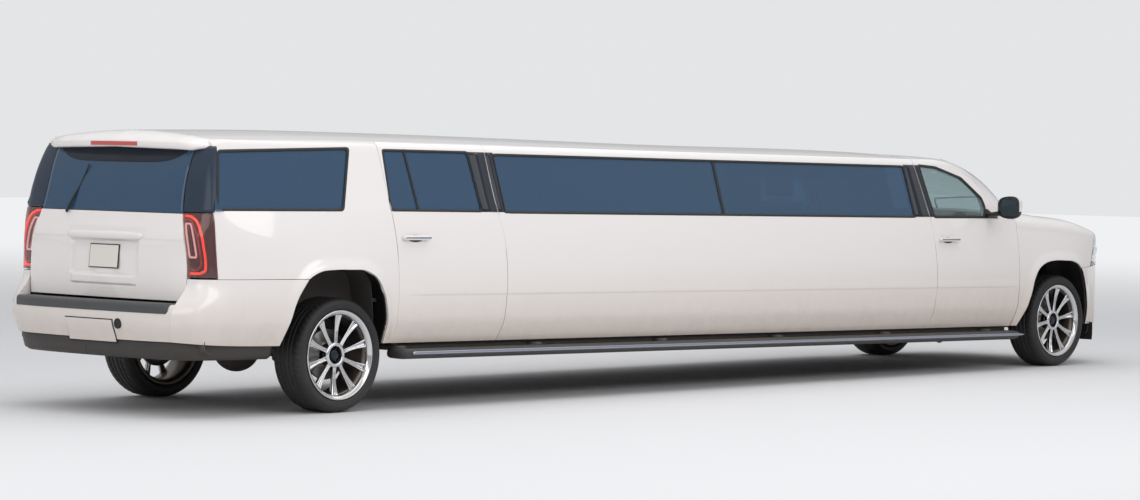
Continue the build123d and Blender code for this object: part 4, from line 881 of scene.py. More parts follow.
rows, cols = np.meshgrid(np.linspace(LAMP_LOW, LAMP_HIGH, 40), np.linspace(0, 1, 36), indexing="ij")
tail_lens = plain("tail_lens", (0.72, 0.40, 0.40), 0.03, transmission=0.93)
smoked = plain("lamp_bezel", (0.016, 0.005, 0.007), 0.25, coat=0.5)
guide_red = plain("guide_red", (0.9, 0.08, 0.05), 0.2, glow=(1.0, 0.09, 0.05, 1.3))
pale_ring = plain("pale_ring", (0.85, 0.84, 0.83), 0.2, glow=(1.0, 0.97, 0.95, 0.75))
guide = curve([(0.08, 1.302), (0.40, 1.300), (0.62, 1.290), (0.72, 1.262), (0.735, 1.20), (0.745, 1.10),
               (0.75, 1.02), (0.73, 0.965), (0.62, 0.940), (0.40, 0.932), (0.08, 0.932)], 90)
inner_guide = curve([(0.10, 1.277), (0.40, 1.275), (0.56, 1.255), (0.60, 1.20), (0.61, 1.08), (0.60, 1.0),
                     (0.48, 0.965), (0.10, 0.96)], 70)
RING = ((0.08, 1.035), (0.46, 1.035), (0.46, 1.252), (0.08, 1.252))
ring = np.concatenate(rounded_edges(RING, 0.04, (16, 20, 16, 20)))
ring = np.concatenate([ring, ring[:1]])
for side, flip in SIDES:
    turn = (1, flip, 1)
    surface(f"tail_lens_{side}", [lamp_point(cols, rows) * turn], tail_lens, "root", wall=0.003,
            edge=0.001, axis_at=(-1.1, 0.8 * flip, 1.1), replaces=("tail_lamps",))
    surface(f"tail_bezel_{side}", [lamp_point(cols, rows, 0.022) * turn], smoked, "root",
            wall=0.05, axis_at=(-1.1, 0.8 * flip, 1.1))
    for name, line, deep, radius, material, ends in (
        ("guide", guide, 0.013, 0.0085, guide_red, True),
        ("inner_guide", inner_guide, 0.015, 0.0065, brake_red, True),
        ("ring", ring, 0.012, 0.0065, pale_ring, False),
    ):
        rod = tube(lamp_point(line[:, 0], line[:, 1], deep) * turn, radius, ends=ends)
        surface(f"tail_{name}_{side}", [(rod, True)], material, "root",
                axis_at=(-1.1, 0.85 * flip, 1.1))

# Rear bumper
# One painted cover bowed out behind the gate, with corner horns up to the lamps and a black step pad.
BUMPER_OUT = ((-0.547, 1.0225), (-0.75, 1.0225), (-0.9, 1.016), (-1.12, 0.99), (-1.25, 0.925), (-1.33, 0.80))
BUMPER_IN = (-0.547, -0.75, -0.9, -1.06, -1.15, -1.195)
BACK_OUT = ((-1.33, 0.80), (-1.375, 0.60), (-1.398, 0.30), (-1.4035, 0.0))
# The corner runs from the arch (0) to the back (1): its shares where the side ends and the gate starts.
SIDE_END, GATE_START = 0.42, 0.86


def foot_tuck(z):
    """How far the cover's foot is drawn forward, at height z."""
    return 0.030 * (1 - smooth((z - 0.46) / 0.15))


def left_of(line):
    """Unit vectors to the left of a plane curve, one for each of its points."""
    ahead = np.gradient(line, axis=0)
    ahead /= np.linalg.norm(ahead, axis=1, keepdims=True)
    return np.stack([-ahead[:, 1], ahead[:, 0]], -1)


corner_run = np.linspace(0, 1, 60)
knots = np.array([0, 0.25, SIDE_END, 0.68, GATE_START, 1.0])
out_x, out_y = (spline(knots, [row[k] for row in BUMPER_OUT])(corner_run) for k in (0, 1))
in_x = spline(knots, BUMPER_IN)(corner_run)
horn_z = np.concatenate([np.linspace(SILL, 0.60, 12), np.linspace(0.608, 0.70, 8),
                         np.linspace(0.71, 0.894, 18)])
arch_rear_x = spline([0.455, 0.484, 0.645, 0.775, 0.897], [-0.547, -0.537, -0.484, -0.435, -0.344])
to_arch = (arch_rear_x(horn_z)[:, None] - BUMPER_OUT[0][0]) * np.clip(1 - corner_run / 0.25, 0, 1)[None]
run = corner_run[None]
z = horn_z[:, None] + 0.028 * run**2 * (1 - smooth((horn_z[:, None] - SILL) / 0.12))
low_scale = skin(np.full_like(z, -0.3), z) / float(skin(-0.3, CREASE - 0.01))
back_tuck = foot_tuck(z) * smooth((run - 0.5) / 0.4)
share_out = 1 - smooth((z - 0.655) / 0.225)
body_side_x = in_x + to_arch
body_y = skin(body_side_x, z)
near_gate = np.minimum(body_y, np.interp(run, (GATE_START, 1), (0.93, 0.80)))
body_y = np.where(run > GATE_START, near_gate, body_y)
body_x = np.where(run > GATE_START, end_face(body_y, z, -1) - PROUD, body_side_x)
side_y = (out_y + PROUD) * low_scale
horn = np.stack([(out_x + to_arch + back_tuck) * share_out + body_x * (1 - share_out),
                 np.where(run > SIDE_END, side_y * share_out + body_y * (1 - share_out), body_y), z], -1)
horn = flared(horn, rear_arch)
cheek_z = np.linspace(0.728, 0.894, 16)
edge_x = np.interp(cheek_z, horn[:, -1, 2], horn[:, -1, 0])
edge = np.stack([edge_x, np.full(16, 0.80), cheek_z], -1)
cheek = between(edge, edge * (0, 1, 1) - (1.19, 0, 0), np.linspace(0, 1, 6))
back_run = np.linspace(0, 1, 60)
back_knots = np.array([0, 0.27, 0.63, 1.0])
back_x, back_y = (spline(back_knots, [row[k] for row in BACK_OUT])(back_run) for k in (0, 1))
near_horn = smooth((back_y - 0.62) / 0.18)
joint = horn[:20, -1]
shift = joint[:, :1] - BACK_OUT[0][0]
flat_shift = foot_tuck(joint[:, 2:])
rows_x = back_x[None] + shift * near_horn[None] + flat_shift * (1 - near_horn[None])
rows_y = back_y[None] + (joint[:, 1:2] - BACK_OUT[0][1]) * near_horn[None]
back = np.stack(np.broadcast_arrays(rows_x, rows_y, joint[:, 2:]), -1)
lid = np.stack([np.stack([np.minimum(rows_x[-1] + inward, -1.20), back[-1, :, 1], np.full(60, level)], -1)
                for inward, level in ((0.006, 0.716), (0.018, 0.726), (0.05, 0.7285), (0.10, 0.7285))])
back = np.concatenate([back, lid])
# The back's first column reaches 4 mm under the horn.
back[:, 0, 1] += 0.004
surface("rear_bumper_cover", [horn, mirror_y(horn), back, mirror_y(back), cheek, mirror_y(cheek)],
        white_paint, "root", wall=0.003, edge=0.001, axis_at=(-0.6, 0, 0.7),
        replaces=("rear_bumper",))


def back_at(y):
    """Station of the cover's back at a distance y from the centre line."""
    return np.interp(np.abs(y), back_y[::-1], back_x[::-1])


pad_levels = ((-0.003, 0.668), (-0.005, 0.685), (-0.005, 0.712), (0.000, 0.728), (0.014, 0.7345),
              (0.06, 0.7350), (0.125, 0.7350))
pad_y = 0.768 * np.sin(np.linspace(pi / 2, 0, 60))
sink = 0.010 * smooth((pad_y - 0.752) / 0.016)
pad_x = back_at(pad_y) + sink
pad = np.stack([np.stack([np.minimum(pad_x + inward, -1.215), pad_y, level - sink * (level > 0.70)], -1)
                for inward, level in pad_levels])
surface("step_pad", [pad, mirror_y(pad)], grey_plastic, "root", wall=0.003, edge=0.001,
        axis_at=(-1.2, 0, 0.69))
VALANCE = ((-0.56, 0.930), (-0.80, 0.930), (-1.00, 0.915), (-1.14, 0.880), (-1.235, 0.82), (-1.295, 0.73),
           (-1.335, 0.58), (-1.362, 0.30), (-1.368, 0.0))
foot_line = curve(VALANCE, 100)
valance = np.stack([np.concatenate([foot_line + inward * left_of(foot_line), np.full((100, 1), level)], 1)
                    for inward, level in ((0.004, 0.50), (0.0, 0.475), (0.006, 0.43), (0.018, 0.385),
                                          (0.05, 0.366), (0.12, 0.366))])
surface("rear_valance", [valance, mirror_y(valance)], black_plastic, "root", wall=0.004,
        axis_at=(-0.9, 0, 0.45))


def hitch_plate(grow, proud):
    """A tapered plate over the tow bar's opening, narrower at its foot, standing proud of the cover."""
    across, rise = np.meshgrid(np.linspace(-1, 1, 30), np.linspace(0, 1, 14))
    y = -0.085 + 0.020 * rise + across * (0.232 + grow)
    z = 0.467 - grow + rise * (0.143 + 2 * grow)
    return np.stack([back_at(y) + foot_tuck(z) - proud, y, z], -1)


def across_rows(y, rows):
    """Rows of points across the vehicle, one for each station and height of rows."""
    return np.stack([np.stack(np.broadcast_arrays(x, y, z), -1) for x, z in rows])


def ring_rows(middle, rows, count=36, stretch=1.0):
    """Rings that face along the vehicle, one for each distance behind the middle and radius of rows."""
    turn = np.linspace(0, 2 * pi, count, endpoint=False)
    return np.stack([np.stack(np.broadcast_arrays(
        middle[0] - deep, middle[1] + radius * stretch * np.cos(turn), middle[2] + radius * np.sin(turn)), -1)
        for deep, radius in rows])


surface("hitch_cover", [hitch_plate(0.0, 0.0075)], white_paint, "root", wall=0.004,
        edge=0.0016, axis_at=(0, 0, 0.55))
surface("hitch_shade", [hitch_plate(0.007, 0.002)], rubber, "root", wall=0.002,
        axis_at=(0, 0, 0.55))
apron = across_rows(np.linspace(-0.93, 0.93, 30), ((-1.10, 0.405), (-1.15, 0.44), (-1.165, 0.60),
                                                   (-1.17, 0.727), (-1.12, 0.742), (-1.02, 0.745)))
surface("rear_apron", [apron], under_black, "root", wall=0.004, axis_at=(-0.9, 0, 0.6))
SOCKET_Y, SOCKET_Z = -0.352, 0.590
socket = ring_rows((-1.399, SOCKET_Y, SOCKET_Z), ((0, 0), (0, 0.025), (0.0035, 0.030), (0, 0.034),
                                                  (-0.039, 0.034)), 24)
surface("trailer_socket", [(socket, True)], rubber, "root",
        axis_at=(-1.3, SOCKET_Y, SOCKET_Z))

# Tyres
# Low-profile radial road tyres in black rubber: ribbed tread with cut shoulder blocks and plain ringed walls.
AXLE_HIGH, WHEEL_OUT, WHEELBASE = 0.385, 0.8725, 8.382
STATIONS = {"front": WHEELBASE - MIDDLE, "rear": -MIDDLE}
tyre_rubber = dust_and_reflection_finish("tyre_rubber", (0.008, 0.008, 0.009), 0.58, 0.55, 0.03, bump=(500.0, 0.3, 0.0005))


def lathe(profile, count=96, shear=None):
    """A ring turned about the wheel's axle: row k of profile is its distance outwards and radius."""
    profile = np.asarray(profile, float)
    shear = np.zeros(len(profile)) if shear is None else shear
    turn = np.linspace(0, 2 * pi, count, endpoint=False)[None] + shear[:, None]
    out, radius = np.broadcast_to(profile[:, :1], turn.shape), profile[:, 1:]
    return np.stack([radius * np.cos(turn), out, radius * np.sin(turn)], -1)


def wheel_part(name, end, side, grids, material, replaces=()):
    """One piece of a wheel: its grids, outwards along y, put on one corner of the vehicle."""
    flip = dict(SIDES)[side]
    centre = (STATIONS[end], flip * WHEEL_OUT, AXLE_HIGH)
    surface(f"{name}_{end}_{side}", [(grid * (1, flip, 1) + centre, True) for grid in grids], material,
            f"wheel_{end}_{side}", level=False, axis_at=centre, replaces=replaces)


def closed(rows):
    """A profile with its first row again at the end."""
    rows = np.asarray(rows, float)
    return np.concatenate([rows, rows[:1]])


WALL = ((0.100, 0.2866), (0.110, 0.2866), (0.1145, 0.294), (0.1160, 0.3025), (0.1235, 0.3075),
        (0.1310, 0.316), (0.1345, 0.3220), (0.1332, 0.3235), (0.1362, 0.3290), (0.1374, 0.338),
        (0.1372, 0.346), (0.1352, 0.3545), (0.1335, 0.3560), (0.1320, 0.3605), (0.1260, 0.367),
        (0.1170, 0.3745))
TREAD_AT = (0.108, 0.098, 0.090, 0.082, 0.072, 0.0635, 0.0625, 0.0585, 0.0545, 0.0535, 0.046, 0.036, 0.0275,
            0.0265, 0.0225, 0.0185, 0.0175, 0.009, 0.0)
OUTER_GROOVE, INNER_GROOVE, GROOVE_HALF = 0.0585, 0.0225, 0.0042
# The tread repeats every N_BLOCK of its N_TURN columns: a notch in the shoulder, then a fine cut in the rib.
N_TURN, N_BLOCK = 330, 6
tread_at = np.array(TREAD_AT + tuple(-value for value in TREAD_AT[-2::-1]))
tread_radius = (0.3849 - 0.0050 * np.clip((np.abs(tread_at) - 0.088) / 0.02, 0, 1) ** 2
                - 0.0006 * (tread_at / 0.09) ** 2)
spots = np.arange(N_TURN) % N_BLOCK
notch = (spots == 0).astype(float)[None]
sipe = (spots == 3).astype(float)[None]
width = np.abs(tread_at)[:, None]
in_groove = (np.abs(width - OUTER_GROOVE) < GROOVE_HALF) | (np.abs(width - INNER_GROOVE) < GROOVE_HALF)
shoulder_cut = 0.006 * notch * (width > 0.064)
rib_cut = 0.0035 * sipe * (width < 0.054) * (width > 0.026)
cuts = np.maximum(0.0075 * in_groove, np.maximum(shoulder_cut, rib_cut))
tread_rows = np.concatenate([tread_at[:, None], tread_radius[:, None] - cuts], 1)
wall = np.array(WALL)
wide_wall = np.concatenate([wall[:, :1], np.repeat(wall[:, 1:], N_TURN, 1)], 1)
wide_wall[-1, 1:] -= 0.003 * notch[0]
wide_wall_in = wide_wall[::-1] * np.concatenate([[-1.0], np.ones(N_TURN)])
tyre_rows = closed(np.concatenate([wide_wall, tread_rows, wide_wall_in]))
tyre_grid = lathe(tyre_rows, N_TURN, 1.1 * np.minimum(np.abs(tyre_rows[:, 0]), 0.117))
for end, side in WHEELS:
    wheel_part("road_tyre", end, side, [tyre_grid], tyre_rubber, (f"tyre_{end}_{side}",))

# Wheels
# Chromed alloy: a bright lip, ten grooved blades splayed to the barrel, a raised hub ring and a dark cap.
BLADES = 10
LIP = ((0.114, 0.2855), (0.1178, 0.2955), (0.1192, 0.3005), (0.1232, 0.3020), (0.1272, 0.3008),
       (0.1285, 0.2960), (0.1272, 0.2912), (0.1225, 0.2870), (0.1195, 0.2800), (0.112, 0.2728),
       (0.100, 0.2690), (0.090, 0.2672), (0.090, 0.2712), (0.103, 0.2780), (0.110, 0.2830))
BARREL = ((0.092, 0.2668), (0.06, 0.2602), (0.035, 0.2555), (-0.03, 0.2520), (-0.09, 0.2580),
          (-0.12, 0.2700), (-0.128, 0.2960), (-0.124, 0.3010), (-0.118, 0.3000), (-0.114, 0.2855),
          (-0.09, 0.2850), (-0.06, 0.2780), (-0.03, 0.2630), (0.04, 0.2630), (0.065, 0.2760),
          (0.088, 0.2760))
HUB_RING = ((0.080, 0.0585), (0.0855, 0.0620), (0.0870, 0.0680), (0.0860, 0.0765), (0.0820, 0.0830),
            (0.070, 0.0865), (0.045, 0.0870), (0.040, 0.075), (0.040, 0.0600), (0.062, 0.0575))
CAP = ((0.041, 0.0), (0.041, 0.060), (0.046, 0.0595), (0.048, 0.050), (0.049, 0.038), (0.068, 0.0355),
       (0.074, 0.0325), (0.0765, 0.026), (0.0775, 0.013), (0.078, 0.0))
DISC = ((-0.012, 0.168), (-0.012, 0.098), (0.010, 0.094), (0.012, 0.060), (-0.02, 0.060), (-0.034, 0.098),
        (-0.036, 0.168), (-0.028, 0.170), (-0.026, 0.163), (-0.022, 0.163), (-0.020, 0.170), (-0.014, 0.170))
chrome = dust_and_reflection_finish("wheel_chrome", (0.64, 0.64, 0.65), 0.07, 0.34, 0.12, metallic=1.0, bump=(40.0, 0.02, 0.0002))
barrel_dark = dust_and_reflection_finish("barrel_dark", (0.075, 0.066, 0.058), 0.3, 0.5, 0.2, metallic=0.85,
                     bump=(90.0, 0.05, 0.0004))
disc_iron = plain("disc_iron", (0.20, 0.19, 0.18), 0.35, metallic=0.9)

# A blade's section, as share of its half width and depth behind its face: two ridges beside a groove.
BLADE = np.array([(-0.72, -0.030), (-0.98, -0.018), (-1.0, -0.006), (-0.90, -0.0008), (-0.72, 0.0),
                  (-0.52, -0.0015), (-0.36, -0.0085), (0.0, -0.0105), (0.36, -0.0085), (0.52, -0.0015),
                  (0.72, 0.0), (0.90, -0.0008), (1.0, -0.006), (0.98, -0.018), (0.72, -0.030),
                  (0.0, -0.032)])
reach = np.linspace(0.076, 0.2685, 26)[:, None]
half_width = np.interp(reach, (0.076, 0.10, 0.14, 0.19, 0.235, 0.2685),
                       (0.0165, 0.0145, 0.0145, 0.0175, 0.0235, 0.0300))
face_out = np.interp(reach, (0.076, 0.11, 0.16, 0.21, 0.25, 0.2685),
                     (0.0815, 0.0795, 0.0800, 0.0855, 0.0935, 0.0985))
blade = np.stack(np.broadcast_arrays(BLADE[:, 0] * half_width, face_out + BLADE[:, 1], reach), -1)


def spun(points, angle):
    """Points turned about the wheel's axle."""
    x, y, z = np.moveaxis(points, -1, 0)
    return np.stack([x * cos(angle) + z * sin(angle), y, z * cos(angle) - x * sin(angle)], -1)


NUTS, BOLT_CIRCLE = 6, 0.0478
NUT = ((0.0405, 0.0), (0.0405, 0.0085), (0.056, 0.0085), (0.060, 0.0060), (0.061, 0.0))


def nut(angle):
    """A six-sided wheel nut on the hub's bolt circle, closed at both ends."""
    turns = np.linspace(0, 2 * pi, 6, endpoint=False) + angle
    return np.stack([np.stack([BOLT_CIRCLE * sin(angle) + size * np.cos(turns), np.full(6, high),
                               BOLT_CIRCLE * cos(angle) + size * np.sin(turns)], -1) for high, size in NUT])


for end, side in WHEELS:
    lead = 0.16 if end == "front" else 0.05
    blades = [spun(blade, lead + 2 * pi * k / BLADES) for k in range(BLADES)]
    nuts = [nut(lead + 2 * pi * (k + 0.5) / NUTS) for k in range(NUTS)]
    wheel_part("wheel_lip", end, side, [lathe(closed(LIP), 128)], chrome, (f"rim_{end}_{side}",))
    wheel_part("wheel_blades", end, side, blades + [lathe(closed(HUB_RING), 72)], chrome)
    wheel_part("wheel_barrel", end, side, [lathe(closed(BARREL))], barrel_dark)
    wheel_part("hub_cap", end, side, [lathe(CAP, 48)] + nuts, gloss_black)
    wheel_part("brake_disc", end, side, [lathe(closed(DISC), 72)], disc_iron)

# Wheel-arch liners
# Moulded black liners, clipped behind the arch edges and turned in to the frame.
# The front liners stop at their roof, clear of the steered tyres, so their wall has no foot to reach.
REAR_WALL_FOOT, NO_WALL = 0.60, 2.0


def liner(arch, spread, y_in, foot_z):
    """A liner carried round an arch: a rim behind the skin's edge, a roof, then a wall down to foot_z."""
    line = resample(arch, 70)
    out = left_of(line)
    edge = skin(line[:, 0], line[:, 1])
    rows = []
    for shift, y in ((0.001, edge + 0.004), (0.003, edge - 0.016), (0.4 * spread, edge - 0.021),
                     (spread, edge - 0.026), (spread, 0.5 * edge + 0.5 * y_in), (spread, np.full(70, y_in))):
        at = line + shift * out
        rows.append(np.stack([at[:, 0], y, at[:, 1]], -1))
    foot = rows[-1].copy()
    foot[:, 2] = np.minimum(foot[:, 2], foot_z)
    return np.stack(rows + [foot])


for side, flip in SIDES:
    for end, arch, spread, foot_z, station in (("rear", rear_arch, 0.035, REAR_WALL_FOOT, 0.0),
                                               ("front", front_arch, 0.068, NO_WALL, WHEELBASE)):
        grid = liner(arch, spread, 0.60, foot_z) * (1, flip, 1)
        surface(f"{end}_liner_{side}", [grid], black_plastic, "root", wall=0.003,
                axis_at=(station, flip * 0.8, 0.4))
    flap = across_rows(flip * np.linspace(0.80, 0.985, 12),
                       ((8.918, 0.470), (8.922, 0.43), (8.922, 0.37), (8.918, 0.325), (8.915, 0.318)))
    surface(f"front_flap_{side}", [flap], rubber, "root", wall=0.008, edge=0.002,
            axis_at=(8.38, 0, 0.4))

# Running boards
# Black moulded boards on steel brackets, with a ribbed tread and a bright strip along the edge.
BOARD = np.array([(0.925, 0.350), (0.98, 0.348), (1.035, 0.348), (1.058, 0.356), (1.073, 0.368),
                  (1.079, 0.380), (1.079, 0.398), (1.072, 0.409), (1.060, 0.4165), (1.054, 0.4185),
                  (1.050, 0.4160), (1.044, 0.4160), (1.040, 0.4190), (1.030, 0.4190), (1.026, 0.4160),
                  (1.020, 0.4160), (1.016, 0.4190), (1.006, 0.4190), (1.002, 0.4160), (0.996, 0.4160),
                  (0.992, 0.4190), (0.982, 0.4190), (0.978, 0.4160), (0.972, 0.4160), (0.968, 0.4190),
                  (0.925, 0.4190)])
EDGE_STRIP = np.array([(1.074, 0.379), (1.0795, 0.3785), (1.0820, 0.383), (1.0825, 0.390), (1.0815, 0.397),
                       (1.0780, 0.4015), (1.073, 0.4015)])
# A bracket's section about its own middle, and its reach and size from the sill out to the board.
BRACKET = np.array([(-0.045, 0.402), (-0.045, 0.437), (-0.038, 0.4385), (0.038, 0.4385), (0.045, 0.437),
                    (0.045, 0.402), (0.02, 0.400), (-0.02, 0.400)])
BRACKET_Y = np.array([0.776, 0.777, 0.85, 0.93, 0.984, 0.985])[:, None]
BRACKET_SIZE = np.array([0.0, 1.0, 1.0, 0.9, 0.7, 0.0])[:, None]
BRACKET_Z = 0.419
BRACKETS_AT = [0.600 + 1.360 * k for k in range(6)]


def carried(profile, low, high, taper_low, taper_high, root, count=120):
    """A closed (y, z) section carried along x, drawn in towards root at its two ends as an ellipse."""
    share = np.sin(np.linspace(-pi / 2, pi / 2, count)) * 0.5 + 0.5
    x = low + (high - low) * share
    near = np.minimum(np.clip((x - low) / taper_low, 0, 1), np.clip((high - x) / taper_high, 0, 1))
    size = np.sqrt(np.clip(1 - (1 - near) ** 2, 0, 1))[:, None, None]
    across = np.array(root) + (profile[None] - root) * size
    return np.concatenate([np.broadcast_to(x[:, None, None], across[..., :1].shape), across], -1)


def bracket(middle):
    """One bracket under the running board, tapered outwards and closed at both ends."""
    rise = BRACKET_Z + (BRACKET[:, 1] - BRACKET_Z) * BRACKET_SIZE
    return np.stack(np.broadcast_arrays(middle + BRACKET[:, 0] * BRACKET_SIZE, BRACKET_Y, rise), -1)


strip_metal = plain("board_strip", (0.36, 0.39, 0.45), 0.24, metallic=1.0)
board_black = dust_and_reflection_finish("board_black", (0.014, 0.014, 0.015), 0.42, 0.55, 0.06, bump=(600.0, 0.3, 0.0005))
board = carried(BOARD, 0.500, 7.800, 0.05, 0.12, (0.93, 0.385))
strip_run = carried(EDGE_STRIP, 0.60, 7.785, 0.02, 0.16, (1.074, 0.388))
filler = np.stack([np.linspace((0.62, 0.905, level), (7.74, 0.905, level), 40)
                   for level in (0.385, 0.42, 0.454)])
for side, flip in SIDES:
    turn = (1, flip, 1)
    surface(f"running_board_{side}", [(board * turn, True)], board_black, "root",
            axis_at=(4.15, flip * 1.0, 0.385), replaces=("running_boards",) if flip > 0 else ())
    surface(f"board_strip_{side}", [(strip_run * turn, True)], strip_metal, "root",
            axis_at=(4.15, flip * 1.078, 0.39))
    surface(f"sill_filler_{side}", [filler * turn], under_black, "root", wall=0.003,
            axis_at=(4.0, 0, 0.42))
    surface(f"board_brackets_{side}", [(bracket(middle) * turn, True) for middle in BRACKETS_AT], under_black,
            "root", axis_at=(4.0, flip * 0.88, BRACKET_Z))

# Mirrors and handles
# A black housing with a white cap and dimmed glass on a short foot; painted pulls with a bright insert, over
# a dark oval painted as the shade of the recess behind each pull.
MIRROR_AT, MIRROR_HALF, MIRROR_ROUND = (7.322, 1.203, 1.440), (0.105, 0.106, 0.092), 0.58
dimmed_glass = plain("dimmed_mirror", (0.30, 0.33, 0.36), 0.03, metallic=1.0)


def superellipse(turn, half_y, half_z, power):
    """Width and height round a closed outline: half * sign(c) * |c|^power of the cosine and sine."""
    c, s = np.cos(turn), np.sin(turn)
    return half_y * np.sign(c) * np.abs(c) ** power, half_z * np.sign(s) * np.abs(s) ** power


def housing(along, turn, grow=0.0):
    """The mirror's shell: superellipse rings that close towards the front as along goes from 0 to 1."""
    along, turn = np.broadcast_arrays(along, turn)
    size = np.clip(1 - along**2.6, 0, 1) ** (1 / 2.6)
    y, z = superellipse(turn, (MIRROR_HALF[1] + grow) * size, (MIRROR_HALF[2] + grow) * size, MIRROR_ROUND)
    z = z * (1 - 0.16 * (y < 0) * np.abs(y) / MIRROR_HALF[1])
    x = MIRROR_AT[0] + (MIRROR_HALF[0] + grow) * along - 0.10 * (y - MIRROR_HALF[1]) * 0.3
    return np.stack([x, MIRROR_AT[1] + y, MIRROR_AT[2] + z], -1)


def oval_bar(line, half_x, half_z, sides):
    """A bar along a line with an upright oval section, closed to a point at both ends."""
    turn = np.linspace(0, 2 * pi, sides, endpoint=False)
    oval = np.stack([half_x * np.cos(turn), np.zeros(sides), half_z * np.sin(turn)], -1)
    return capped(line[:, None] + oval, line)


around = np.linspace(0, 2 * pi, 56, endpoint=False)[None]
steps = np.sin(np.linspace(0, pi / 2, 20))[:, None]
shell = housing(steps, around)
rim_in = housing(np.zeros((1, 1)), around, -0.008)
glass_deep = rim_in + (0.010, 0, 0)
glass_rings = np.stack([glass_deep[0] * s + glass_deep[0].mean(0) * (1 - s) for s in np.linspace(1, 0, 8)])
cap_turn = np.linspace(-0.16, pi + 0.16, 40)[None]
cap = housing(np.sin(np.linspace(0.11, pi / 2, 18))[:, None], cap_turn, 0.0022)
ARM = curve([(7.400, 0.930, 1.372), (7.392, 0.99, 1.376), (7.385, 1.06, 1.386), (7.378, 1.13, 1.400)], 16)
arm = oval_bar(ARM, 0.040, 0.022, 20)
foot_low = resample([(7.300, 1.347), (7.530, 1.347)], 24)
foot_high = curve([(7.302, 1.351), (7.345, 1.372), (7.385, 1.425), (7.43, 1.405), (7.50, 1.366),
                   (7.528, 1.351)], 24)
foot = on_side(between(foot_low, foot_high, np.linspace(0, 1, 8)), 0.004)
HANDLE_LONG, HANDLE_Z = 0.131, 1.172
run = np.sin(np.linspace(-pi / 2, pi / 2, 40)) * HANDLE_LONG
ease = np.sqrt(np.clip(1 - (np.abs(run) / HANDLE_LONG) ** 14, 0, 1))[:, None]
bow = 0.004 * (1 - (run / HANDLE_LONG) ** 2)[:, None]
bar_y, bar_z = superellipse(np.linspace(0, 2 * pi, 24, endpoint=False), 0.0145 * ease, 0.0165 * ease, 0.7)
bar_y, bar_z = 0.022 + bow + bar_y, HANDLE_Z + bar_z
insert_rise = np.array([-0.0062, -0.0050, 0.0, 0.0050, 0.0062])[:, None]
insert_out = np.array([0.0365, 0.0385, 0.0390, 0.0385, 0.0365])[:, None] + bow[4:-4, 0]
# A flat dark oval on the skin behind each pull: painted shade standing for the pull's recess.
recess_shade_turn = np.linspace(0, 2 * pi, 36, endpoint=False)
recess_shade_oval = np.stack([0.072 * np.cos(recess_shade_turn), 0.024 * np.sin(recess_shade_turn)], -1)
recess_shade = np.stack([(0, HANDLE_Z - 0.006) + size * recess_shade_oval for size in (1.0, 0.7, 0.35, 0.0)])
for side, flip in SIDES:
    turn = (1, flip, 1)
    body = f"front_door_{side}"
    surface(f"mirror_housing_{side}", [(np.concatenate([rim_in, shell]) * turn, True)], black_plastic, body,
            axis_at=(7.37, flip * 1.203, 1.44), replaces=(f"mirror_{side}",))
    surface(f"mirror_glass_{side}", [(glass_rings * turn, True)], dimmed_glass, body,
            axis_at=(7.5, flip * 1.2, 1.44))
    surface(f"mirror_cap_{side}", [cap * turn], white_paint, body, wall=0.003, edge=0.001,
            axis_at=(7.36, flip * 1.2, 1.44))
    surface(f"mirror_foot_{side}", [(arm * turn, True)], black_plastic, body,
            axis_at=(7.385, flip * 1.03, 1.385))
    surface(f"mirror_sail_{side}", [foot * turn], black_plastic, body, wall=0.006,
            edge=0.001)
    for end, middle in (("rear", 0.680), ("front", 6.790)):
        door = f"{end}_door_{side}"
        base = float(skin(middle, HANDLE_Z))
        bar = np.stack(np.broadcast_arrays(middle + run[:, None], base + bar_y, bar_z), -1)
        surface(f"{end}_handle_{side}", [(bar * turn, True)], white_paint, door,
                axis_at=(middle, flip * (base + 0.022), HANDLE_Z))
        insert = np.stack(np.broadcast_arrays(middle + run[4:-4] * 0.98, base + insert_out,
                                              HANDLE_Z + insert_rise), -1)
        surface(f"{end}_handle_insert_{side}", [insert * turn], strip_metal, door, wall=0.0015)
        surface(f"{end}_handle_recess_shade_{side}", [(on_side(recess_shade + (middle, 0), 0.0015) * turn, True)], rubber, door,
                wall=0.001)

# Roof front, pillars and windscreen
# The roof pressing ends in a header over bonded glass; the slim front pillars run down to the cowl.
DOOR_SIDE = ((7.86, 1.312, 0.957), (7.77, 1.347, 0.955), (7.60, 1.377, 0.946), (7.50, 1.452, 0.926),
             (7.42, 1.532, 0.901), (7.25, 1.677, 0.866), (7.0, 1.770, 0.836), (6.74, 1.806, 0.8135),
             (6.60, 1.806, 0.8135))
GLASS_SIDE = ((7.985, 1.372, 0.752), (7.93, 1.424, 0.740), (7.771, 1.563, 0.712), (7.552, 1.694, 0.685),
              (7.337, 1.779, 0.655), (7.15, 1.822, 0.632), (6.95, 1.826, 0.616), (6.72, 1.819, 0.612))
SCREEN_TOP_X = 7.165
door_line, glass_line = curve(DOOR_SIDE, 90), curve(GLASS_SIDE, 90)
swell = np.array([0, 0.2, 0.4, 0.6, 0.8, 1.0])
pillar = between(door_line, glass_line, swell)
pillar = (pillar + (4 * swell * (1 - swell))[:, None, None] * np.array([0.002, 0.010, 0.010]))[..., [0, 2, 1]]
screen_top = np.argmin(np.abs(glass_line[:, 0] - SCREEN_TOP_X))
head_x, head_z, head_y = resample(glass_line[screen_top:], 24).T
crown = np.linspace(0, 1, 26)[:, None]
header_x = head_x + 0.022 * (1 - crown**2) * smooth((head_x - 6.72) / 0.4)
header_z = head_z + (roof_centre(head_x) - head_z) * (1 - crown**2.2)
header = np.stack([header_x, head_y * crown, header_z], -1)
surface("roof_front", [pillar, mirror_y(pillar), header, mirror_y(header)], white_paint, "root",
        wall=0.012, edge=0.002, axis_at=(6.9, 0, 1.2), replaces=("roof_panel",))
side_x, side_z, side_y = resample(glass_line[:screen_top + 1], 40).T
across = np.linspace(-1, 1, 41)[:, None]
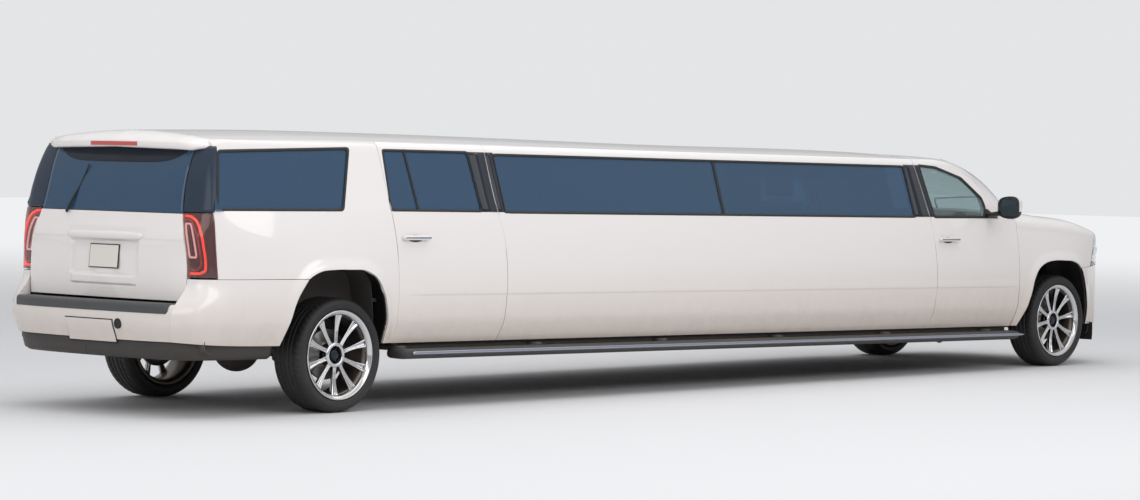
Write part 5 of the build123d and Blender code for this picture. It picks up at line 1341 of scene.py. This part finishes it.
bulge = (1 - across**2) * (1 - across**2 * 0.1)
screen_lean = np.clip((side_y - 0.62) / 0.13, 0, 1)
pane = np.stack([side_x + bulge * (0.022 + 0.012 * (1 - screen_lean)), side_y * across,
                 side_z + bulge * (0.030 - 0.012 * screen_lean)], -1)
surface("front_screen", [pane - (0.004, 0, 0.004)], clear_glass, "root", wall=0.005,
        axis_at=(6.9, 0, 1.0), replaces=("windscreen",))
for name, line, flip in (("left", pane[-1], 1), ("right", pane[0], -1)):
    edging = np.stack([line + (0.001, 0, 0.002), line - (0.002, 0.022 * flip, 0.001)])
    surface(f"screen_edging_{name}", [edging], gloss_black, "root", wall=0.003,
            axis_at=(6.9, 0, 1.0))
shade_band = pane[:, -5:] - (0.0055, 0, 0.0060)
surface("screen_shade_band", [shade_band], gloss_black, "root", wall=0.001,
        axis_at=(6.9, 0, 1.0))
wiper_rest_x, wiper_rest_z = side_x[::-1], side_z[::-1]

# Hood, fenders and cowl
# A crowned hood between rounded fender shoulders, its rear edge over a black scuttle with two wipers.
HOOD_SIDE, HOOD_REAR = 0.7925, 7.985
hood_line = spline([7.70, 7.99, 8.30, 8.65, 8.90, 9.04, 9.13],
                   [1.400, 1.3885, 1.3665, 1.3415, 1.289, 1.2485, 1.2225])


def hood_top(x, y):
    """Height of the hood: its side line, a crown across and a broad raised middle with soft edges."""
    share = np.abs(y) / 0.79
    middle = smooth((0.50 - np.abs(y) + 0.10 * (x - 8.0)) / 0.05)
    raised = 0.006 * middle * smooth((x - 8.02) / 0.15) * smooth((9.1 - x) / 0.2)
    return hood_line(x) + 0.030 * (1 - share**2) + raised


def hood_seam(x):
    """Points of the hood's side seam at stations x."""
    return np.stack([x, np.full(len(x), HOOD_SIDE), hood_line(x)], -1)


def hood_nose(y):
    """Station of the hood's front edge."""
    return end_face(y, np.full_like(np.asarray(y, float), 1.21), 1) - 0.072


edge_y = np.linspace(-0.7885, 0.7885, 81)
share = np.linspace(0, 1, 70)[:, None]
x = HOOD_REAR * (1 - share) + (hood_nose(edge_y) - 0.003) * share
y = np.broadcast_to(edge_y[None], x.shape)
z = hood_top(x, y)
lip_drop = np.array([0.0035, 0.012, 0.03])[:, None]
rear_lip = np.stack(np.broadcast_arrays(x[:1] + 0.003, y[:1], z[:1] - lip_drop), -1)
front_lip = np.stack(np.broadcast_arrays(x[-1:] + 0.001, y[:1], z[-1:] - lip_drop), -1)
hood_grid = np.concatenate([rear_lip[::-1], np.stack([x, y, z], -1), front_lip])
surface("hood_skin", [hood_grid], white_paint, "hood", wall=0.012, edge=0.0015,
        axis_at=(8.5, 0, 0), replaces=("hood",))

# Level rays from this station, on the centre line, draw the rounded front end.
NOSE_HUB = 8.3


def nose_point(angle, z, deep=0.0):
    """A point of the front end where a level ray at an angle from straight ahead leaves the skin."""
    angle, z = np.broadcast_arrays(np.asarray(angle, float), np.asarray(z, float))
    near, far = np.full_like(angle, 0.3), np.full_like(angle, 1.4)
    for _ in range(26):
        middle = (near + far) / 2
        x, y = NOSE_HUB + middle * np.cos(angle), middle * np.sin(angle)
        inside = (skin(x, z) > y) & (x < front_line(z))
        near, far = np.where(inside, middle, near), np.where(inside, far, middle)
    reach = near - deep
    return np.stack([NOSE_HUB + reach * np.cos(angle), reach * np.sin(angle), z], -1)


def shoulder_foot(x):
    """Height where the rounded shoulder meets the fender's side."""
    return np.interp(x, (7.77, 8.3, 8.7, 8.8, 8.943), (1.265, 1.240, 1.212, 1.192, 1.187))


FENDER_Z, CORNER_X = 1.187, 8.88
LAMP_REAR = ((8.943, FENDER_Z), (8.925, 1.11), (8.893, 1.03), (8.868, 0.947))
front_y = np.linspace(0, HOOD_SIDE, 40)
front_x = hood_nose(front_y)
front_b = np.stack([front_x + 0.003, front_y, hood_top(front_x, np.minimum(front_y, 0.79))], -1)
angles = np.arctan2(front_y, front_b[:, 0] - NOSE_HUB)
front_a = nose_point(angles, FENDER_Z)
corner_x = np.linspace(front_b[-1, 0], CORNER_X, 16)[1:]
last = float(np.arctan2(skin(CORNER_X, FENDER_Z), CORNER_X - NOSE_HUB))
corner_a = nose_point(np.linspace(angles[-1], last, 16)[1:], FENDER_Z)
fender_x = np.linspace(CORNER_X, 7.7725, 60)[1:]
side_a = on_side(np.stack([fender_x, shoulder_foot(fender_x)], -1))
upper = np.concatenate([front_b, hood_seam(corner_x), hood_seam(fender_x)])
lower = np.concatenate([front_a, corner_a, side_a])
control = lower.copy()
control[:, 2] = upper[:, 2] - 0.10 * (upper[:, 2] - lower[:, 2])
t = np.linspace(0, 1, 16)[:, None, None]
shoulder = (1 - t) ** 2 * upper + 2 * t * (1 - t) * control + t**2 * lower
turned_in = upper[None] - np.array([[0, 0, 0.022], [0, 0, 0.004]])[:, None]
shoulder = np.concatenate([turned_in, shoulder])
# The arch's edge is shared out between the door's cut, the shoulder above it and the lamp's rear edge.
N_UP, N_OVER, N_FRONT = 30, 46, 26
up_to, over_to, front_to = (np.argmax(front_arch[:, 0] > station) for station in (8.03, 8.52, 8.672))
front_parts = np.concatenate([resample(front_arch[:up_to], N_UP),
                              resample(front_arch[up_to - 1:over_to], N_OVER)[1:],
                              resample(front_arch[over_to - 1:front_to], N_FRONT)[1:]])
over_x = np.concatenate([fender_x[::-1], np.linspace(CORNER_X, LAMP_REAR[0][0], 6)])
over = resample(np.stack([over_x, shoulder_foot(over_x)], -1), N_OVER)
lamp_part = resample(np.concatenate([curve(LAMP_REAR, 30), [(8.674, 0.936)]]), N_FRONT)
rear_cut = edge_line(front_door_front, SHUT, SILL, BELT, 30)
rear_cut = resample(np.concatenate([rear_cut[rear_cut[:, 1] < over[0, 1] - 0.01], over[:1]]), N_UP)
fender_outline = np.concatenate([rear_cut, over[1:], lamp_part[1:]])
fender_grid = on_side(between(front_parts, fender_outline, np.linspace(0, 1, 28) ** 1.35))
fender_low = flared(fender_grid, front_arch)
surface("fender_skin", [fender_low, mirror_y(fender_low), shoulder, mirror_y(shoulder)], white_paint, "root",
        wall=0.010, edge=0.0015, axis_at=(8.4, 0, 0.8), replaces=("fenders",))
# The cowl's rows: station, height at its ends, and how far its middle is bowed forward.
COWL = ((7.86, 1.372, 1.0), (7.90, 1.368, 1.0), (7.915, 1.372, 1.0), (7.93, 1.366, 0.8), (7.955, 1.366, 0.4),
        (7.972, 1.345, 0.2), (7.976, 1.300, 0.2))
cowl_y = np.linspace(-0.80, 0.80, 60)
cowl = np.stack([np.stack([x_at + 0.035 * (1 - (cowl_y / 0.8) ** 2) * bowing,
                           cowl_y * np.interp(x_at, (7.86, 7.955, 8.02), (0.875, 0.915, 1.0)),
                           end_z + 0.030 * (1 - (cowl_y / 0.79) ** 2)], -1) for x_at, end_z, bowing in COWL])
surface("cowl_panel", [cowl], black_plastic, "root", wall=0.004, axis_at=(7.9, 0, 0.5))
wiper_runs = []
for base, tip in ((0.62, 0.02), (-0.02, -0.60)):
    x, y = np.linspace((7.925, base), (7.86, tip), 8).T
    bulge = 1 - (y / 0.74) ** 2
    z = np.interp(x - 0.026 * bulge, wiper_rest_x, wiper_rest_z) + 0.030 * bulge + 0.010
    line = np.concatenate([[(7.955, base, 1.412)], np.stack([x, y, z], -1)])
    wiper_runs.append((tube(curve(line, 30), np.linspace(0.008, 0.004, 30)), True))
surface("front_wipers", wiper_runs, rubber, "root", axis_at=(7.92, 0, 1.42))

# Front bumper, grille and headlamps
# A painted cover with an air slot and fog lamps, a bright-framed grille with level bars, clear lamps.
arch_front_x = spline([0.455, 0.55, 0.667, 0.797, 0.903, 0.937], [8.816, 8.809, 8.790, 8.749, 8.698, 8.674])


def cover_top(x, y):
    """Height of the bumper's upper seam: under the grille, under the lamp, and down to the arch."""
    under_lamp = np.interp(x, (8.672, 8.868, 9.0, 9.3), (0.934, 0.944, 0.957, 1.002))
    return under_lamp + (0.797 - under_lamp) * smooth((0.521 - y) / 0.02)


run = np.concatenate([np.linspace(0, 0.355, 44), np.linspace(0.357, 0.385, 10),
                      np.linspace(0.39, 1, 56)])[None]


def cover_point(z):
    """Points of the cover at heights z, shared out from the centre line round to the arch's edge."""
    x_end = arch_front_x(z) + 0.001
    return nose_point(run * np.arctan2(skin(x_end, z), x_end - NOSE_HUB), z)


# The upper seam's height depends on where it is reached, so it is found by repeating.
z = np.full(run.shape, 0.95)
for _ in range(3):
    point = cover_point(z)
    top = cover_top(point[..., 0], point[..., 1])[-1:]
    z = SILL + (top - SILL) * np.linspace(0, 1, 46)[:, None]
cover_grid = cover_point(z)
SLOT = (0.470, 0.590, 0.690)
FOG_Y, FOG_Z = 0.69, 0.611
y, z = cover_grid[..., 1], cover_grid[..., 2]
fog = smooth(0.5 + np.minimum(0.085 - np.abs(y - FOG_Y), np.minimum(z - 0.560, 0.662 - z)) / 0.02)
sunk = 0.030 * box_mask(y, z, *SLOT, 0.02) + 0.030 * fog
ridge = 0.008 * np.exp(-((z - 0.745) / 0.016) ** 2) * smooth((0.9 - y) / 0.2)
cover_grid = cover_grid - (sunk - ridge)[..., None] * (1, 0, 0)
cover_grid = flared(cover_grid, front_arch)
surface("front_cover", [cover_grid, mirror_y(cover_grid)], white_paint, "root", wall=0.004,
        edge=0.001, axis_at=(8.4, 0, 0.7), replaces=("front_bumper",))
chin_rows = ((0.012, 0.470), (0.020, 0.440), (0.035, 0.410), (0.060, 0.385), (0.12, 0.375), (0.25, 0.375))
chin_turn = np.linspace(-1.0, 1.0, 80)
shallow = 1 - 0.8 * smooth((np.abs(chin_turn) - 0.50) / 0.25)
chin = np.stack([nose_point(np.abs(chin_turn), 0.50, 0.012 + (deep - 0.012) * shallow) * (1, 1, 0)
                 + (0, 0, level) for deep, level in chin_rows])
chin[..., 1] *= np.sign(chin_turn)
surface("front_chin", [chin], black_plastic, "root", wall=0.004, axis_at=(8.6, 0, 0.6))


def face_patch(y_edges, z_edges, deep, rows=12, columns=40):
    """A patch a little behind the front face between half widths and heights."""
    y, z = np.meshgrid(np.linspace(*y_edges, columns), np.linspace(*z_edges, rows))
    return np.stack([end_face(y, z, 1) - deep, y, z], -1)


mesh_runs = [(tube(face_patch((-0.455, 0.455), (level, level), 0.020, 1)[0], 0.0035, 6), True)
             for level in (0.606, 0.623, 0.640, 0.657, 0.674)]
surface("air_slot_back", [face_patch((-0.458, 0.458), (0.597, 0.683), 0.0275)], rubber, "root",
        wall=0.002, axis_at=(8.6, 0, 0.64))
surface("air_slot_bars", mesh_runs, black_plastic, "root", axis_at=(9.3, 0, 0.64))
GRILLE = ((0.535, 1.180), (-0.535, 1.180), (-0.500, 0.803), (0.500, 0.803))
# The frame's section: its share of the way in from the outer loop, and its depth behind the front face.
FRAME = ((0, 0.020), (0, 0.002), (0.15, -0.008), (0.5, -0.012), (0.85, -0.006), (1, 0.004), (1, 0.050))
frame_loop = np.concatenate(rounded_edges(GRILLE, 0.03, (60, 24, 60, 24)))
inner_loop = np.concatenate(rounded_edges(offset_corners(GRILLE, -0.034), 0.02, (60, 24, 60, 24)))
loops = between(frame_loop, inner_loop, [share for share, deep in FRAME])
deep = np.array([deep for share, deep in FRAME])[:, None]
grille_frame = np.stack([end_face(loops[..., 0], loops[..., 1], 1) - deep, loops[..., 0], loops[..., 1]], -1)
surface("grille_frame", [(grille_frame, True)], bright, "root", wall=0.002, axis_at=(8.6, 0, 1.0),
        replaces=("grille",))
surface("grille_back", [face_patch((-0.52, 0.52), (0.815, 1.17), 0.052, 16, 50)], rubber, "root",
        wall=0.003, axis_at=(8.6, 0, 1.0))
bars = []
for level in np.linspace(0.862, 1.122, 5):
    half = np.interp(level, (0.803, 1.18), (0.470, 0.504))
    line = face_patch((-half, half), (level, level), 0.020, 1, 60)[0]
    bars.append((oval_bar(line, 0.011, 0.0135, 12), True))
surface("grille_bars", bars, bright, "root", axis_at=(9.2, 0, 1.0))
lens_white = plain("lamp_glass", (0.90, 0.93, 0.95), 0.02, transmission=0.96)
lamp_glow = plain("lamp_guide", (0.92, 0.93, 0.95), 0.15, glow=(1.0, 0.98, 0.95, 0.12))
fog_glass = plain("fog_glass", (0.46, 0.48, 0.50), 0.08, metallic=0.6, coat=1.0)
across, rise = np.meshgrid(np.linspace(0, 1, 44), np.linspace(0, 1, 22))
inner_angle = float(np.arctan2(0.548, float(end_face(0.548, 1.08, 1)) - NOSE_HUB))


def lamp_grid(across, rise, deep):
    """A point of the headlamp, from its inner edge round to its rear edge and from its foot to its head."""
    z = 0.97 + (1.176 - 0.97) * rise
    x_rear = np.interp(z, (0.947, 1.187), (8.872, 8.947))
    outer_angle = np.arctan2(skin(x_rear, z), x_rear - NOSE_HUB)
    angle = inner_angle + (outer_angle - inner_angle) * across
    low = cover_top(nose_point(angle, z)[..., 0], 0.8) + 0.005
    return nose_point(angle, low + (1.182 - low) * rise, deep)


guide = curve([(0.04, 0.90), (0.35, 0.90), (0.70, 0.88), (0.90, 0.80), (0.93, 0.55), (0.90, 0.28),
               (0.70, 0.16), (0.40, 0.13), (0.04, 0.13)], 90)
# An eye's rings: depth behind the lamp's face and radius, from its barrel in to its lens.
EYE = ((0.075, 0.058), (0.028, 0.056), (0.022, 0.050), (0.034, 0.044), (0.050, 0.040), (0.044, 0.030),
       (0.036, 0.015), (0.034, 0.0))
FOG_EYE = ((0.050, 0.046), (0.016, 0.046), (0.012, 0.042), (0.018, 0.038), (0.015, 0.02), (0.014, 0.0))
for side, flip in SIDES:
    turn = (1, flip, 1)
    at = (8.75, flip * 0.6, 1.08)
    surface(f"headlamp_lens_{side}", [lamp_grid(across, rise, -0.001) * turn], lens_white, "root",
            wall=0.003, edge=0.001, axis_at=at, replaces=("headlamps",) if flip > 0 else ())
    surface(f"headlamp_bezel_{side}", [lamp_grid(across, rise, 0.050) * turn], gloss_black, "root",
            wall=0.01, axis_at=at)
    centres = [lamp_grid(np.array([[share]]), np.array([[0.5]]), 0.0)[0, 0] for share in (0.20, 0.47)]
    surface(f"headlamp_eyes_{side}", [(ring_rows(centre, EYE) * turn, True) for centre in centres], bright,
            "root", axis_at=at)
    line = lamp_grid(guide[:, 0], guide[:, 1], 0.018) * turn
    surface(f"headlamp_guide_{side}", [(tube(line, 0.0055), True)], lamp_glow, "root",
            axis_at=(9.0, flip * 0.8, 1.08))
    fog_face = float(end_face(FOG_Y, FOG_Z, 1))
    fog_eye = ring_rows((fog_face, FOG_Y, FOG_Z), FOG_EYE, stretch=1.35)
    surface(f"fog_lamp_{side}", [(fog_eye * turn, True)], fog_glass, "root",
            axis_at=(8.9, flip * FOG_Y, FOG_Z))

# Seats
# Black leather over foam with sewn channels: two front seats, a rear bench and a long side bench on plinths.
CHANNEL_WIDE, CHANNEL_DEEP = 0.007, 0.009


def pillow(half, centre, axes, along=(), across=(), bolster=0.0, counts=(36, 44)):
    """A stuffed pad: two crowned sheets that meet in a seam, sides drawn in between the corners.

    Height is depth * ((1 - s^8) * (1 - t^8))^(1/3), less sewn channels, plus side bolsters.
    """
    s = np.sin(np.linspace(-pi / 2, pi / 2, counts[0]))[:, None]
    t = np.sin(np.linspace(-pi / 2, pi / 2, counts[1]))[None]
    edge = (np.clip(1 - s**8, 0, 1) * np.clip(1 - t**8, 0, 1)) ** (1 / 3)
    crown = 0.82 + 0.18 * (1 - s**2) * (1 - t**2)
    sewn = np.zeros_like(edge)
    for share, places, size in ((s, along, half[0]), (t, across, half[1])):
        sewn = sewn + sum(np.exp(-(((share - at) * size) / CHANNEL_WIDE) ** 2) for at in places)
    raised = bolster * smooth((np.abs(t) - 0.62) / 0.2)
    top = edge * (half[2] * crown + raised - CHANNEL_DEEP * np.minimum(sewn, 1.2))
    drawn_s = half[0] * s * (1 - 0.015 * (1 - t**2))
    drawn_t = half[1] * t * (1 - 0.015 * (1 - s**2))
    return [np.stack([drawn_s, drawn_t, level], -1) @ np.array(axes, float) + centre
            for level in (top, -edge * half[2])]


def leaning(angle):
    """Axes of a backrest: up along its height, across the vehicle, and out towards the knees."""
    return (-sin(angle), 0, cos(angle)), (0, 1, 0), (cos(angle), 0, sin(angle))


UPRIGHT = ((1, 0, 0), (0, 1, 0), (0, 0, 1))
FACING_IN = ((1, 0, 0), (0, 0.18, 0.98), (0, -0.98, 0.18))


def pad(name, half, centre, axes, replaces=(), **stitching):
    """A padded piece whose two sheets face away from its middle."""
    made = surface(name, pillow(half, centre, axes, **stitching), leather, "root", axis_at=centre,
                   replaces=replaces)


for side, flip in SIDES:
    y = 0.4575 * flip
    pad(f"seat_cushion_{side}", (0.238, 0.232, 0.080), (6.755, y, 0.805), UPRIGHT, across=(-0.55, 0.55),
        along=(-0.3, 0.1, 0.5), bolster=0.02, replaces=("seats",) if flip > 0 else ())
    pad(f"seat_back_{side}", (0.285, 0.230, 0.060), (6.468, y, 1.165), leaning(radians(11)),
        across=(-0.55, 0.55), along=(-0.5, -0.1, 0.3), bolster=0.02)
    pad(f"seat_headrest_{side}", (0.075, 0.135, 0.042), (6.402, y, 1.565), leaning(radians(5)),
        counts=(28, 36))
    posts = [(tube([(6.412, y + gap, 1.41), (6.408, y + gap, 1.45), (6.402, y + gap, 1.52)], 0.006), True)
             for gap in (-0.06, 0.06)]
    surface(f"headrest_posts_{side}", posts, bright, "root", axis_at=(6.405, y, 1.46))
    base_at = (6.70, y, 0.650)
    surface(f"seat_base_{side}", pillow((0.24, 0.19, 0.086), base_at, UPRIGHT, counts=(20, 24)),
            black_plastic, "root", axis_at=base_at)
pad("rear_bench_cushion", (0.225, 0.650, 0.070), (0.185, 0.0, 0.905), UPRIGHT, across=(-0.34, 0.34),
    along=(-0.3, 0.15, 0.55), counts=(36, 70))
pad("rear_bench_back", (0.250, 0.650, 0.058), (-0.115, 0.0, 1.225), leaning(radians(19)),
    across=(-0.34, 0.34), along=(-0.4, 0.0, 0.4), counts=(36, 70))
channels = np.linspace(-0.9, 0.9, 16)
pad("side_bench_cushion", (1.990, 0.155, 0.080), (3.70, 0.560, 0.875), UPRIGHT, along=channels,
    counts=(200, 22))
pad("side_bench_back", (1.990, 0.165, 0.050), (3.70, 0.765, 1.115), FACING_IN, along=channels,
    counts=(200, 22))
plinths = (pillow((1.96, 0.14, 0.12), (3.70, 0.57, 0.685), UPRIGHT, counts=(24, 20))
           + pillow((0.20, 0.62, 0.03), (0.17, 0, 0.82), UPRIGHT, counts=(20, 24)))
surface("bench_plinths", plinths, carpet, "root", axis_at=(3.0, 0.4, 0.72))

# Firewall
# A pressed panel between the cabin and the engine bay, below the cowl.
wall_y, wall_z = np.meshgrid(np.linspace(-0.86, 0.86, 24), np.linspace(0.56, 1.345, 12))
ribbed = 0.006 * np.sin(wall_z * 40) * smooth((0.84 - np.abs(wall_y)) / 0.05)
firewall = np.stack([7.806 + ribbed, wall_y, wall_z], -1)
surface("firewall", [firewall], under_black, "root", wall=0.004, axis_at=(7.0, 0, 0.9),
        replaces=("bulkhead",))
